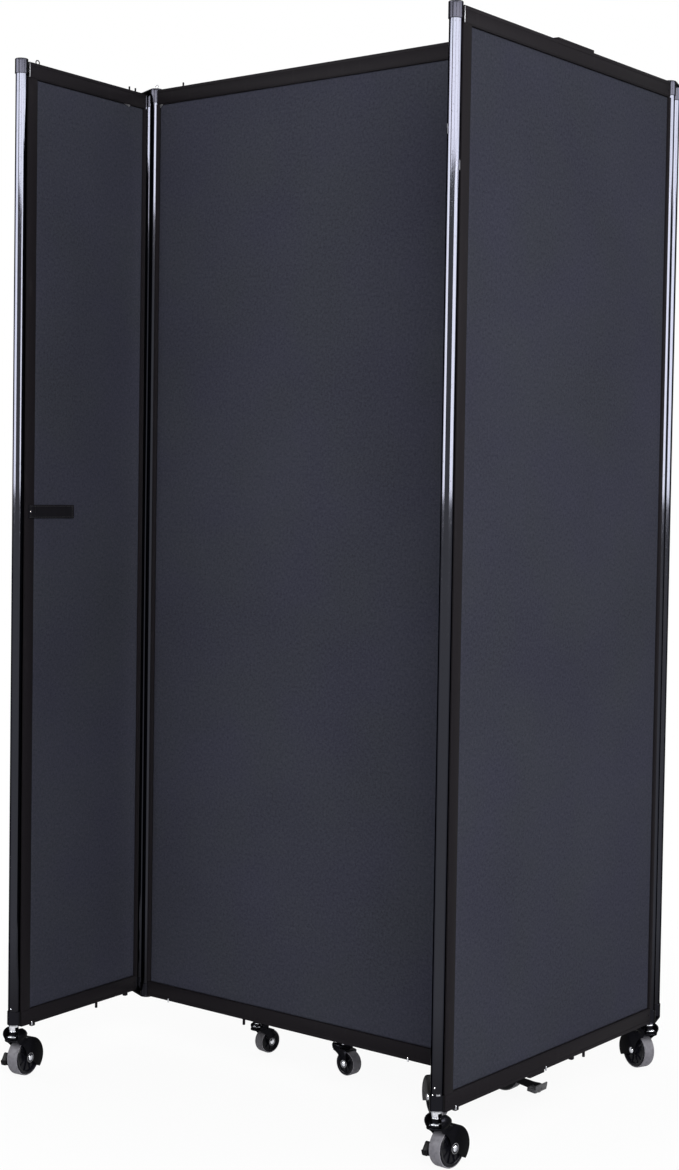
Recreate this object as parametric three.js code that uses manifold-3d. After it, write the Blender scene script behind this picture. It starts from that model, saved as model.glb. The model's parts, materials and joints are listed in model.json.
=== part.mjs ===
// A folding ward privacy screen: four framed fabric panels, hinged post to post, on casters.
// Millimetres, +Z up. The wheels stand on z = 0, and the finished group is shifted so that
// its origin lies under the middle of its bounding box.
import * as THREE from "three";
import { mergeVertices } from "three/addons/utils/BufferGeometryUtils.js";
import Module from "manifold-3d";

const wasm = await Module();
wasm.setup();

// Driving sizes of the frame. Spans run from post axis to post axis.
const frameHeight = 1978;
const fullSpan = 838;
const halfSpan = 419;
const hiddenSpan = 591;
const linkSpacing = 58;

// Bearings in plan, in degrees from +X, counter-clockwise seen from above.
const linkBearingAB = 158.7;
const headingA = -80.2;
const headingB = 0;
const linkBearingBD = 60;
const headingD = 85.94;
const linkBearingDC = -67.5;
const headingC = -83.86;

// Bearings in which the wheels trail behind their stems, named by the caster's place.
const trailBearings = {
  A: 100.7,
  B: 146,
  B1: 82.5,
  B2: -1.6,
  D: 186,
  C_far: 162.9,
  C_near: 89.5,
};

// Sections of the frame.
const tubeRadius = 12;
const tubeWall = 2;
const railHeight = 32;
const railDepth = 20;
const boardDepth = 14;
const wideStile = 28;
const narrowStile = 7;
const sleeveWall = 1.2;
const sleeveHeight = 26;
const plateThickness = 4;
const gap = 0.3;
const overrun = 2;

// The strap on panel A and its rivet. The height is measured from the foot of the frame.
const strap = {
  width: 28,
  length: 150,
  thickness: 2,
  height: 1066,
  pastRivet: 6,
};
const rivet = {
  headRadius: 2.5,
  headHeight: 1.6,
  shankRadius: 1.2,
  fromStileEdge: 14,
};

// The three inch caster. Its wheel trails along +X, with the axle along Y.
const largeCaster = {
  wheelRadius: 38,
  wheelWidth: 28,
  treadThickness: 7,
  treadRound: 3,
  coreRecess: 4,
  hubRadius: 10,
  axleRadius: 4,
  axleHeadRadius: 6.5,
  axleHeadHeight: 3,
  trail: 32,
  hoodClearance: 2,
  forkThickness: 2.5,
  forkClearance: 2.5,
  crownThickness: 3.5,
  crownFront: 17,
  crownBack: 26,
  crownChamfer: 6,
  frontEdge: 9,
  shroudHeight: 11,
  shroudWall: 2.5,
  shroudFront: 8,
  bossRadius: 10,
  pinRadius: 5,
  pinHeadRadius: 8,
  pinHeadHeight: 2,
  cupRadius: 15,
  cupRingHeight: 4,
  cupWaistRadius: 13,
  cupWaistHeight: 3.5,
  neckRadius: 11,
  neckHeight: 11,
  stemRadius: 9.7,
};

// The two inch caster, of the same build.
const smallCaster = {
  wheelRadius: 25.5,
  wheelWidth: 25,
  treadThickness: 5,
  treadRound: 2,
  coreRecess: 3,
  hubRadius: 7.5,
  axleRadius: 3.5,
  axleHeadRadius: 5.5,
  axleHeadHeight: 2.5,
  trail: 27,
  hoodClearance: 2,
  forkThickness: 2,
  forkClearance: 2,
  crownThickness: 3,
  crownFront: 15,
  crownBack: 23,
  crownChamfer: 5,
  frontEdge: 6,
  shroudHeight: 7,
  shroudWall: 2.2,
  shroudFront: 6,
  bossRadius: 8,
  pinRadius: 4,
  pinHeadRadius: 6.5,
  pinHeadHeight: 2,
  cupRadius: 12,
  cupRingHeight: 3,
  cupWaistRadius: 10.5,
  cupWaistHeight: 3,
  neckRadius: 8,
  neckHeight: 6,
  stemRadius: 6,
};

// Where a fork's round edges start and end, in degrees round the axle, 90 being straight up.
const hoodStartAngle = 100;
const hoodEndAngle = 0;
const bossStartAngle = 200;
const bossEndAngle = 300;

// How far a caster's stem is pushed into what holds it.
const postInsertion = 60;
const socketInsertion = 40;

// The brake pedals: a ring round the axle, an arm to the front and a paddle. The short one's
// paddle lies beside the wheel, the long one's reaches across in front of it as well.
const shortPedal = {
  thickness: 3,
  ringRadius: 10,
  armWidth: 11,
  reach: 36,
  paddleLength: 20,
  paddleOutward: 14,
  paddleInward: 0,
  lipHeight: 4,
  lipThickness: 3,
  droop: 18,
};
const longPedal = {
  thickness: 3,
  ringRadius: 10,
  armWidth: 13,
  reach: 98,
  paddleLength: 21,
  paddleOutward: 26,
  paddleInward: 22,
  lipHeight: 5,
  lipThickness: 3,
  droop: 9,
};

// The outrigger arms behind the foot rails.
const arm = {
  width: 25,
  height: 20,
  flangeWidth: 62,
  flangeThickness: 4,
  eyeWall: 5,
};
const outriggerB1 = { along: 249.4, reach: 96.6 };
const outriggerB2 = { along: 470.9, reach: 114.1 };
const outriggerD = { along: 209.6, reach: 52 };

// How finely round pieces are faceted.
const tubeSegments = 24;
const wheelSegments = 24;
const smallSegments = 16;
const arcSteps = 8;

// Heights that follow from the casters.
const largeShoulder = shoulderOf(largeCaster);
const smallShoulder = shoulderOf(smallCaster);
const footPlateBottom = largeShoulder + gap;
const frameFoot = footPlateBottom + plateThickness + gap;
const frameTop = frameFoot + frameHeight;
const sleeveRadius = tubeRadius + gap + sleeveWall;

const paint = {
  tube: { color: 0x141414, roughness: 0.18, metalness: 0.6 },
  frame: { color: 0x1c1c1c, roughness: 0.45, metalness: 0.4 },
  fabric: { color: 0x27282e, roughness: 0.95, metalness: 0 },
  chrome: { color: 0xd8d8dc, roughness: 0.12, metalness: 1 },
  fork: { color: 0x18181a, roughness: 0.4, metalness: 0.3 },
  tread: { color: 0x7d7a82, roughness: 0.7, metalness: 0 },
  pedal: { color: 0x2c2c30, roughness: 0.5, metalness: 0 },
  webbing: { color: 0x1b1b1d, roughness: 0.9, metalness: 0 },
};

function radians(degrees) {
  return (degrees * Math.PI) / 180;
}

// Levels of a caster above the floor.
function crownBottomOf(caster) {
  return 2 * caster.wheelRadius + caster.hoodClearance;
}

function cupBottomOf(caster) {
  return crownBottomOf(caster) + caster.crownThickness + gap;
}

function shoulderOf(caster) {
  return cupBottomOf(caster) + caster.cupRingHeight + caster.cupWaistHeight + caster.neckHeight;
}

// A closed geometry as a solid that can be joined and cut.
function solid(geometry) {
  geometry.deleteAttribute("normal");
  geometry.deleteAttribute("uv");
  const merged = mergeVertices(geometry);
  return new wasm.Manifold(new wasm.Mesh({
    numProp: 3,
    vertProperties: new Float32Array(merged.attributes.position.array),
    triVerts: new Uint32Array(merged.index.array),
  }));
}

function named(name, body, look) {
  const cut = body.getMesh();
  const geometry = new THREE.BufferGeometry();
  geometry.setAttribute("position", new THREE.BufferAttribute(cut.vertProperties, 3));
  geometry.setIndex(new THREE.BufferAttribute(cut.triVerts, 1));
  geometry.computeVertexNormals();
  const mesh = new THREE.Mesh(geometry, new THREE.MeshStandardMaterial(look));
  mesh.name = name;
  return mesh;
}

function joined(bodies) {
  return bodies.reduce((sum, body) => sum.add(body));
}

// A box from its lowest to its highest corner.
function block([x0, y0, z0], [x1, y1, z1]) {
  const box = new THREE.BoxGeometry(x1 - x0, y1 - y0, z1 - z0);
  box.translate((x0 + x1) / 2, (y0 + y1) / 2, (z0 + z1) / 2);
  return solid(box);
}

// A round bar along Z, round the upright through (x, y).
function uprightBar(x, y, z0, z1, radius, segments = smallSegments) {
  const bar = new THREE.CylinderGeometry(radius, radius, z1 - z0, segments);
  bar.rotateX(Math.PI / 2);
  bar.translate(x, y, (z0 + z1) / 2);
  return solid(bar);
}

// A round bar along Y, round the line through (x, z).
function crossBar(x, z, y0, y1, radius) {
  const bar = new THREE.CylinderGeometry(radius, radius, y1 - y0, smallSegments);
  bar.translate(x, (y0 + y1) / 2, z);
  return solid(bar);
}

// An outline in the XY plane, pulled from z0 to z1.
function flatPlate(points, z0, z1) {
  const outline = new THREE.Shape(points.map(([x, y]) => new THREE.Vector2(x, y)));
  const plate = new THREE.ExtrudeGeometry(outline, { depth: z1 - z0, bevelEnabled: false });
  plate.translate(0, 0, z0);
  return solid(plate);
}

// An outline in the XZ plane, pulled from y0 to y1.
function sidePlate(points, y0, y1) {
  const outline = new THREE.Shape(points.map(([x, z]) => new THREE.Vector2(x, z)));
  const plate = new THREE.ExtrudeGeometry(outline, { depth: y1 - y0, bevelEnabled: false });
  plate.rotateX(Math.PI / 2);
  plate.translate(0, y1, 0);
  return solid(plate);
}

// A piece turned round Z from a profile of [radius, height] points, bottom first.
function turned(profile, segments, startAngle = 0) {
  const points = profile.map(([r, z]) => new THREE.Vector2(r, z));
  const lathe = new THREE.LatheGeometry(points, segments, startAngle);
  lathe.rotateX(Math.PI / 2);
  return lathe;
}

// Points on an arc round (x, z), from one angle to another.
function arc(x, z, radius, from, to, steps = arcSteps) {
  return Array.from({ length: steps + 1 }, (_, step) => {
    const angle = radians(from + ((to - from) * step) / steps);
    return [x + radius * Math.cos(angle), z + radius * Math.sin(angle)];
  });
}

// A post: a tube with a flat stile on one side, between the rails.
function framePost(along, stileWidth, side) {
  const tube = uprightBar(along, 0, frameFoot, frameTop, tubeRadius, tubeSegments);
  const root = along + side * (tubeRadius - tubeWall / 2);
  const edge = along + side * (tubeRadius + stileWidth);
  const stile = block(
    [Math.min(root, edge), -railDepth / 2, frameFoot + railHeight + gap],
    [Math.max(root, edge), railDepth / 2, frameTop - railHeight - gap],
  );
  const boreRadius = tubeRadius - tubeWall;
  const bore = uprightBar(along, 0, frameFoot - overrun, frameTop + overrun, boreRadius, tubeSegments);
  return tube.add(stile).subtract(bore);
}

// A panel. Local +X runs from its first post, at the origin, to its second one.
function panel(letter, span, posts) {
  const [first, second] = posts;
  const group = new THREE.Group();
  const railStart = sleeveRadius + gap;
  const railEnd = span - sleeveRadius - gap;
  const boardStart = tubeRadius + first.stile + gap;
  const boardEnd = span - tubeRadius - second.stile - gap;
  const footRailTop = frameFoot + railHeight;
  const headRailBottom = frameTop - railHeight;
  const rail = (z0, z1) => block([railStart, -railDepth / 2, z0], [railEnd, railDepth / 2, z1]);
  const board = block(
    [boardStart, -boardDepth / 2, footRailTop + gap],
    [boardEnd, boardDepth / 2, headRailBottom - gap],
  );
  group.add(named(`${first.name}_post_${letter}`, framePost(0, first.stile, 1), paint.tube));
  group.add(named(`${second.name}_post_${letter}`, framePost(span, second.stile, -1), paint.tube));
  group.add(named(`bottom_rail_${letter}`, rail(frameFoot, footRailTop), paint.frame));
  group.add(named(`top_rail_${letter}`, rail(headRailBottom, frameTop), paint.frame));
  group.add(named(`fabric_board_${letter}`, board, paint.fabric));
  return group;
}

// Sleeves on one plate, round the posts at the given places. Each place says whether a
// caster's stem passes through its plate.
function sleeves(places, atTop) {
  const plateFoot = atTop ? frameTop + gap : footPlateBottom;
  const plateHead = plateFoot + plateThickness;
  const sleeveFoot = atTop ? frameTop - sleeveHeight : plateHead;
  const sleeveHead = atTop ? plateFoot : frameFoot + sleeveHeight;
  const boreFoot = atTop ? sleeveFoot - overrun : sleeveFoot;
  const boreHead = atTop ? sleeveHead : sleeveHead + overrun;
  const lowest = Math.min(plateFoot, sleeveFoot);
  const highest = Math.max(plateHead, sleeveHead);
  const shells = places.map(({ x }) => uprightBar(x, 0, lowest, highest, sleeveRadius, tubeSegments));
  const bridge = block(
    [places[0].x, -sleeveRadius, plateFoot],
    [places.at(-1).x, sleeveRadius, plateHead],
  );
  const outer = places.length > 1 ? joined([...shells, bridge]) : shells[0];
  const bores = places.map(({ x }) => (
    uprightBar(x, 0, boreFoot, boreHead, tubeRadius + gap, tubeSegments)
  ));
  const stemHoles = places.filter(({ stem }) => stem).map(({ x }) => (
    uprightBar(x, 0, lowest - overrun, highest + overrun, largeCaster.stemRadius + gap)
  ));
  return outer.subtract(joined([...bores, ...stemHoles]));
}

// The top and bottom link blocks between two posts. Local +X points to the second post.
function links(letters, stemAtFirst, stemAtSecond) {
  const group = new THREE.Group();
  const topPlaces = [{ x: 0 }, { x: linkSpacing }];
  const footPlaces = [{ x: 0, stem: stemAtFirst }, { x: linkSpacing, stem: stemAtSecond }];
  group.add(named(`top_link_${letters}`, sleeves(topPlaces, true), paint.frame));
  group.add(named(`bottom_link_${letters}`, sleeves(footPlaces, false), paint.frame));
  return group;
}

// The cap and the foot collar of a free post.
function postEnds(letter, along) {
  const group = new THREE.Group();
  group.add(named(`post_cap_${letter}`, sleeves([{ x: 0 }], true), paint.frame));
  group.add(named(`post_collar_${letter}`, sleeves([{ x: 0, stem: true }], false), paint.frame));
  group.position.x = along;
  return group;
}

// The part of a caster that stays put: king pin, bearing cup, neck and stem.
function swivel(caster, insertion) {
  const crownBottom = crownBottomOf(caster);
  const pinHeadTop = crownBottom - gap;
  const pinHeadBottom = pinHeadTop - caster.pinHeadHeight;
  const cupBottom = cupBottomOf(caster);
  const ringTop = cupBottom + caster.cupRingHeight;
  const cupTop = ringTop + caster.cupWaistHeight;
  const shoulder = shoulderOf(caster);
  const stemTop = shoulder + insertion;
  return solid(turned([
    [0, pinHeadBottom],
    [caster.pinHeadRadius, pinHeadBottom],
    [caster.pinHeadRadius, pinHeadTop],
    [caster.pinRadius, pinHeadTop],
    [caster.pinRadius, cupBottom],
    [caster.cupRadius, cupBottom],
    [caster.cupRadius, ringTop],
    [caster.cupWaistRadius, ringTop],
    [caster.cupWaistRadius, cupTop],
    [caster.neckRadius, cupTop],
    [caster.neckRadius, shoulder],
    [caster.stemRadius, shoulder],
    [caster.stemRadius, stemTop],
    [0, stemTop],
  ], smallSegments));
}

function forkHalfWidth(caster) {
  return caster.wheelWidth / 2 + caster.forkClearance + caster.forkThickness;
}

// The wall that stands on a fork's crown, round the back and the sides of the bearing.
function shroud(caster, radius, foot) {
  const top = foot + caster.shroudHeight;
  const bore = uprightBar(0, 0, foot - overrun, top + overrun, radius - caster.shroudWall, tubeSegments);
  const opening = block(
    [-radius - overrun, -radius - overrun, foot - overrun],
    [-caster.shroudFront, radius + overrun, top + overrun],
  );
  const below = foot - caster.crownThickness / 2;
  return uprightBar(0, 0, below, top, radius, tubeSegments).subtract(joined([bore, opening]));
}

// The fork: a crown with its shroud, two cheeks, a hood over the back of the wheel, and the axle.
function fork(caster, pedal) {
  const crownBottom = crownBottomOf(caster);
  const crownTop = crownBottom + caster.crownThickness;
  const outer = forkHalfWidth(caster);
  const inner = outer - caster.forkThickness;
  const front = -caster.crownFront;
  const chamfer = caster.crownChamfer;
  const axleX = caster.trail;
  const axleZ = caster.wheelRadius;
  const hoodInner = caster.wheelRadius + caster.hoodClearance;
  const hoodOuter = hoodInner + caster.forkThickness;
  const hoodEdge = arc(axleX, axleZ, hoodOuter, hoodEndAngle, hoodStartAngle);
  const crown = flatPlate([
    [front + chamfer, -outer],
    [caster.crownBack, -outer],
    [caster.crownBack, outer],
    [front + chamfer, outer],
    [front, outer - chamfer],
    [front, chamfer - outer],
  ], crownBottom, crownTop);
  const cheekOutline = [
    [front + chamfer, crownTop],
    [front + chamfer, crownBottom - caster.frontEdge],
    ...arc(axleX, axleZ, caster.bossRadius, bossStartAngle, bossEndAngle),
    ...hoodEdge,
    [caster.crownBack, crownTop],
  ];
  const hood = sidePlate([
    ...hoodEdge,
    ...arc(axleX, axleZ, hoodInner, hoodStartAngle, hoodEndAngle),
  ], -outer, outer);
  const pedalRoom = pedal ? gap + pedal.thickness + gap : 0;
  const axle = joined([
    crossBar(axleX, axleZ, -outer - caster.axleHeadHeight, -inner, caster.axleHeadRadius),
    crossBar(axleX, axleZ, -outer, outer + pedalRoom + caster.axleHeadHeight, caster.axleRadius),
    crossBar(
      axleX, axleZ, outer + pedalRoom, outer + pedalRoom + caster.axleHeadHeight, caster.axleHeadRadius,
    ),
  ]);
  const pinHole = uprightBar(0, 0, crownBottom - overrun, crownTop + overrun, caster.pinRadius + gap);
  return joined([
    crown,
    shroud(caster, outer, crownTop),
    sidePlate(cheekOutline, -outer, -inner),
    sidePlate(cheekOutline, inner, outer),
    hood,
    axle,
  ]).subtract(pinHole);
}

// The wheel, turned round Z and then laid on its side, with its middle at the origin. Its
// radius is measured to the middle of a facet, and it stands on a facet.
function wheel(caster) {
  const halfFacet = Math.PI / wheelSegments;
  const rim = caster.wheelRadius / Math.cos(halfFacet);
  const bore = caster.axleRadius + gap;
  const half = caster.wheelWidth / 2;
  const hubHalf = half + caster.forkClearance - gap;
  const web = half - caster.coreRecess;
  const core = caster.wheelRadius - caster.treadThickness;
  const shoulder = rim - caster.treadRound;
  const tread = half - caster.treadRound;
  const lower = [
    [bore, -hubHalf],
    [caster.hubRadius, -hubHalf],
    [caster.hubRadius, -web],
    [core, -web],
    [core, -half],
    [shoulder, -half],
    [rim, -tread],
  ];
  const upper = lower.map(([r, z]) => [r, -z]).reverse();
  const lathe = turned([...lower, ...upper, lower[0]], wheelSegments, halfFacet);
  lathe.rotateX(Math.PI / 2);
  return solid(lathe);
}

// A brake pedal, with the axle at the origin and its arm along -X, outside the left cheek.
function brakePedal(caster, pedal) {
  const inside = forkHalfWidth(caster) + gap;
  const outside = inside + pedal.thickness;
  const half = pedal.thickness / 2;
  const paddleStart = inside - pedal.paddleInward;
  const paddleEnd = inside + pedal.paddleOutward;
  const ring = crossBar(0, 0, inside, outside, pedal.ringRadius);
  const lever = block(
    [-pedal.reach, inside, -pedal.armWidth / 2],
    [0, outside, pedal.armWidth / 2],
  );
  const paddle = block(
    [-pedal.reach, paddleStart, -half],
    [pedal.paddleLength - pedal.reach, paddleEnd, half],
  );
  const lip = block(
    [-pedal.reach, paddleStart, -half],
    [pedal.lipThickness - pedal.reach, paddleEnd, half + pedal.lipHeight],
  );
  const bore = crossBar(0, 0, inside - overrun, outside + overrun, caster.axleRadius + gap);
  return joined([ring, lever, paddle, lip]).subtract(bore);
}

// A caster under the point (x, y) of a panel that runs along a heading in plan.
function casterUnit(place, caster, { x, y, heading, insertion, pedal }) {
  const group = new THREE.Group();
  group.add(named(`caster_swivel_${place}`, swivel(caster, insertion), paint.chrome));
  group.add(named(`caster_fork_${place}`, fork(caster, pedal), paint.fork));
  const rollers = named(`caster_wheel_${place}`, wheel(caster), paint.tread);
  rollers.position.set(caster.trail, 0, caster.wheelRadius);
  group.add(rollers);
  if (pedal) {
    const lever = named(`brake_pedal_${place}`, brakePedal(caster, pedal), paint.pedal);
    lever.position.set(caster.trail, 0, caster.wheelRadius);
    lever.rotation.y = -radians(pedal.droop);
    group.add(lever);
  }
  group.position.set(x, y, 0);
  group.rotation.z = radians(trailBearings[place] - heading);
  return group;
}

// An outrigger arm: a flange on the back of the foot rail, a bar and the socket of a stem.
function outrigger({ along, reach }, caster, socketBottom) {
  const socketRadius = caster.stemRadius + gap + arm.eyeWall;
  const back = railDepth / 2 + gap;
  const barTop = frameFoot + arm.height;
  const flange = block(
    [along - arm.flangeWidth / 2, back, frameFoot],
    [along + arm.flangeWidth / 2, back + arm.flangeThickness, frameFoot + railHeight],
  );
  const bar = block([along - arm.width / 2, back, frameFoot], [along + arm.width / 2, reach, barTop]);
  const socket = uprightBar(along, reach, socketBottom, barTop, socketRadius);
  const bore = uprightBar(along, reach, socketBottom - overrun, barTop + overrun, caster.stemRadius + gap);
  return joined([flange, bar, socket]).subtract(bore);
}

// The strap on panel A, seen from above: over the stile, down to the board and along it.
function strapBody(span) {
  const stileFace = railDepth / 2 + gap;
  const boardFace = boardDepth / 2 + gap;
  const drop = stileFace - boardFace;
  const rivetX = span - tubeRadius - rivet.fromStileEdge;
  const start = rivetX + strap.pastRivet;
  const bend = span - tubeRadius - wideStile - gap;
  const end = start - strap.length;
  const inner = [[end, boardFace], [bend - drop, boardFace], [bend, stileFace], [start, stileFace]];
  const outer = inner.map(([x, y]) => [x, y + strap.thickness]).reverse();
  const low = frameFoot + strap.height - strap.width / 2;
  const band = flatPlate([...inner, ...outer], low, low + strap.width);
  const hole = crossBar(rivetX, frameFoot + strap.height, 0, railDepth, rivet.shankRadius + gap);
  return band.subtract(hole);
}

function strapRivet(span) {
  const x = span - tubeRadius - rivet.fromStileEdge;
  const z = frameFoot + strap.height;
  const stileFace = railDepth / 2 + gap;
  const headFace = stileFace + strap.thickness + gap;
  const shank = crossBar(x, z, stileFace, headFace + rivet.headHeight, rivet.shankRadius);
  const head = crossBar(x, z, headFace, headFace + rivet.headHeight, rivet.headRadius);
  return shank.add(head);
}

// Where a panel's group goes: at the end of a link that leaves the point (x, y).
function placeAt(group, x, y, bearing) {
  group.position.set(x, y, 0);
  group.rotation.z = radians(bearing);
  return group;
}

function stepFrom([x, y], bearing, length) {
  return [x + length * Math.cos(radians(bearing)), y + length * Math.sin(radians(bearing))];
}

function onPost(x, heading, pedal) {
  return { x, y: 0, heading, insertion: postInsertion, pedal };
}

function onArm({ along, reach }, heading, insertion, pedal) {
  return { x: along, y: reach, heading, insertion, pedal };
}

const leftOfB = [0, 0];
const rightOfB = stepFrom(leftOfB, headingB, fullSpan);
const hingeOfA = stepFrom(leftOfB, linkBearingAB, linkSpacing);
const nearOfD = stepFrom(rightOfB, linkBearingBD, linkSpacing);
const farOfD = stepFrom(nearOfD, headingD, hiddenSpan);
const farOfC = stepFrom(farOfD, linkBearingDC, linkSpacing);

const panelA = panel("A", halfSpan, [
  { name: "hinge", stile: narrowStile },
  { name: "free", stile: wideStile },
]);
panelA.add(postEnds("A", halfSpan));
panelA.add(named("strap", strapBody(halfSpan), paint.webbing));
panelA.add(named("strap_rivet", strapRivet(halfSpan), paint.chrome));
panelA.add(casterUnit("A", largeCaster, onPost(halfSpan, headingA, shortPedal)));

const panelB = panel("B", fullSpan, [
  { name: "left", stile: narrowStile },
  { name: "right", stile: narrowStile },
]);
panelB.add(named("outrigger_B1", outrigger(outriggerB1, smallCaster, smallShoulder + gap), paint.frame));
panelB.add(named("outrigger_B2", outrigger(outriggerB2, smallCaster, smallShoulder + gap), paint.frame));
panelB.add(casterUnit("B1", smallCaster, onArm(outriggerB1, headingB, socketInsertion)));
panelB.add(casterUnit("B2", smallCaster, onArm(outriggerB2, headingB, socketInsertion)));
panelB.add(casterUnit("B", largeCaster, onPost(fullSpan, headingB)));

const panelD = panel("D", hiddenSpan, [
  { name: "near", stile: narrowStile },
  { name: "far", stile: narrowStile },
]);
panelD.add(named("outrigger_D", outrigger(outriggerD, largeCaster, footPlateBottom), paint.frame));
panelD.add(casterUnit("D", largeCaster, onArm(outriggerD, headingD, arm.height, longPedal)));

const panelC = panel("C", fullSpan, [
  { name: "far", stile: narrowStile },
  { name: "near", stile: wideStile },
]);
panelC.add(postEnds("C", fullSpan));
panelC.add(casterUnit("C_far", largeCaster, onPost(0, headingC)));
panelC.add(casterUnit("C_near", largeCaster, onPost(fullSpan, headingC, shortPedal)));

const screen = new THREE.Group();
screen.add(placeAt(panelB, ...leftOfB, headingB));
screen.add(placeAt(links("AB", false, false), ...leftOfB, linkBearingAB));
screen.add(placeAt(panelA, ...hingeOfA, headingA));
screen.add(placeAt(links("BD", true, false), ...rightOfB, linkBearingBD));
screen.add(placeAt(panelD, ...nearOfD, headingD));
screen.add(placeAt(links("DC", false, true), ...farOfD, linkBearingDC));
screen.add(placeAt(panelC, ...farOfC, headingC));

const bounds = new THREE.Box3().setFromObject(screen, true);
const middle = bounds.getCenter(new THREE.Vector3());
screen.position.set(-middle.x, -middle.y, 0);

export default screen;
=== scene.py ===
"""The finished look of a folding ward privacy screen on casters.

Metres, +Z up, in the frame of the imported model. Every piece is made in the coordinates of
the panel or caster that carries it, and its mesh is then moved to its place.
"""

import json
import math

import bmesh
import bpy
from mathutils import Matrix, Vector, noise


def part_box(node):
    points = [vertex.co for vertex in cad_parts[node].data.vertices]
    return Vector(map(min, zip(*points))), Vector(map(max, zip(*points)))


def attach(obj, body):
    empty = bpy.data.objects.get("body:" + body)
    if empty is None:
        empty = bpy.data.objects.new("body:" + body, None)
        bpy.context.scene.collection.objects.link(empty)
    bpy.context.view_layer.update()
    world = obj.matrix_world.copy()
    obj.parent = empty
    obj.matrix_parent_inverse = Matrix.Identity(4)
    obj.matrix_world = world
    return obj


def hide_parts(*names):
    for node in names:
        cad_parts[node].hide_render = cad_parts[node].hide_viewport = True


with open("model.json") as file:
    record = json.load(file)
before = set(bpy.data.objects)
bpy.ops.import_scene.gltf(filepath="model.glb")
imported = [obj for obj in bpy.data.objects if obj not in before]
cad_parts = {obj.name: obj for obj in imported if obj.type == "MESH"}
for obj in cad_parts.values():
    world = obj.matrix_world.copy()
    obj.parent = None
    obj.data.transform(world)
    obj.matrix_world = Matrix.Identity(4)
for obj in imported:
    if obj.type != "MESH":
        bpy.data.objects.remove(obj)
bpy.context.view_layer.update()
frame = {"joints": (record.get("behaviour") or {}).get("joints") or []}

# The photograph's camera. Its place is measured from the foot of panel B's left post.
PHOTO_HEIGHT = 1170
SENSOR = 0.036
FOCAL_PIXELS = 2094.2
CAMERA_FROM_POST = (3.34167, -3.17063, 1.2254)
CAMERA_YAW = math.radians(131.354)
CAMERA_PITCH = math.radians(2.603)
CAMERA_ROLL = math.radians(0.875)

# Sections of the frame, as in the model.
TUBE_RADIUS = 0.012
TUBE_WALL = 0.002
RAIL_HEIGHT = 0.032
RAIL_DEPTH = 0.020
BOARD_DEPTH = 0.014
WIDE_STILE = 0.028
NARROW_STILE = 0.007
SLEEVE_RADIUS = 0.0135
SLEEVE_HEIGHT = 0.026
PLATE = 0.004
GAP = 0.0003

# The cloth on the boards.
CLOTH = 0.0007
CLOTH_ROLL = 0.004
CLOTH_TUCK = 0.0024
CLOTH_STEP = 0.014
WEAVE_PITCH = 0.0011

# The strap on panel A. Its height is measured from the foot of the frame.
STRAP_WIDTH = 0.028
STRAP_LENGTH = 0.150
STRAP_THICKNESS = 0.002
RIB_PITCH = 0.0016
CORD_PITCH = 0.0022
STRAP_HEIGHT = 1.066
STRAP_PAST_RIVET = 0.006
RIVET_FROM_EDGE = 0.014

LARGE = {
    "wheel": 0.038, "width": 0.028, "tread": 0.007, "round": 0.004, "recess": 0.004,
    "hub": 0.010, "axle": 0.004, "axle_head": 0.0065, "head_height": 0.003, "trail": 0.032,
    "hood_gap": 0.002, "sheet": 0.0025, "side_gap": 0.0025, "crown": 0.0035,
    "crown_front": 0.017, "crown_back": 0.026, "front_edge": 0.009, "hood_end": -26,
    "shroud": 0.0175, "shroud_wall": 0.0025, "shroud_front": 0.008,
    "boss": 0.010, "pin": 0.005, "pin_head": 0.008, "pin_head_height": 0.002, "cup": 0.015,
    "ring": 0.004, "waist": 0.0035, "neck_radius": 0.011, "neck": 0.011, "stem": 0.0097, "ribs": 10,
}
SMALL = {
    "wheel": 0.0255, "width": 0.025, "tread": 0.005, "round": 0.003, "recess": 0.003,
    "hub": 0.0075, "axle": 0.0035, "axle_head": 0.0055, "head_height": 0.0025, "trail": 0.027,
    "hood_gap": 0.002, "sheet": 0.002, "side_gap": 0.002, "crown": 0.003,
    "crown_front": 0.015, "crown_back": 0.023, "front_edge": 0.006, "hood_end": 76,
    "shroud": 0.0100, "shroud_wall": 0.0022, "shroud_front": 0.006,
    "boss": 0.008, "pin": 0.004, "pin_head": 0.0065, "pin_head_height": 0.002, "cup": 0.012,
    "ring": 0.003, "waist": 0.003, "neck_radius": 0.008, "neck": 0.006, "stem": 0.006, "ribs": 8,
}
# The casters under the free posts, where no link plate limits the wall round the bearing.
TALL = {**LARGE, "shroud": 0.0230, "hood_end": -38}
ARM = {"width": 0.025, "height": 0.020, "flange": 0.062, "flange_thickness": 0.004, "eye": 0.005}

# How far a wheel's black side stops short of its rim, and how far a stem goes into its post or socket.
WHEEL_SKIN = 0.0018
POST_INSERTION = 0.060
SOCKET_INSERTION = 0.040

# A free post's collar, from and to these heights over the floor.
COLLAR_FOOT = 0.1115
COLLAR_TOP = 0.1400
# A link's web: the share of the link that it takes up, its height and half its thickness.
WEB_REACH = 0.56
WEB_HEIGHT = 0.010
WEB_HALF = 0.0015
# The height of the thin plate on panel C's top rail.
STRIP = 0.0062

# Segments round a turned piece.
FINE = 72
COARSE = 24


# Node trees


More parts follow.
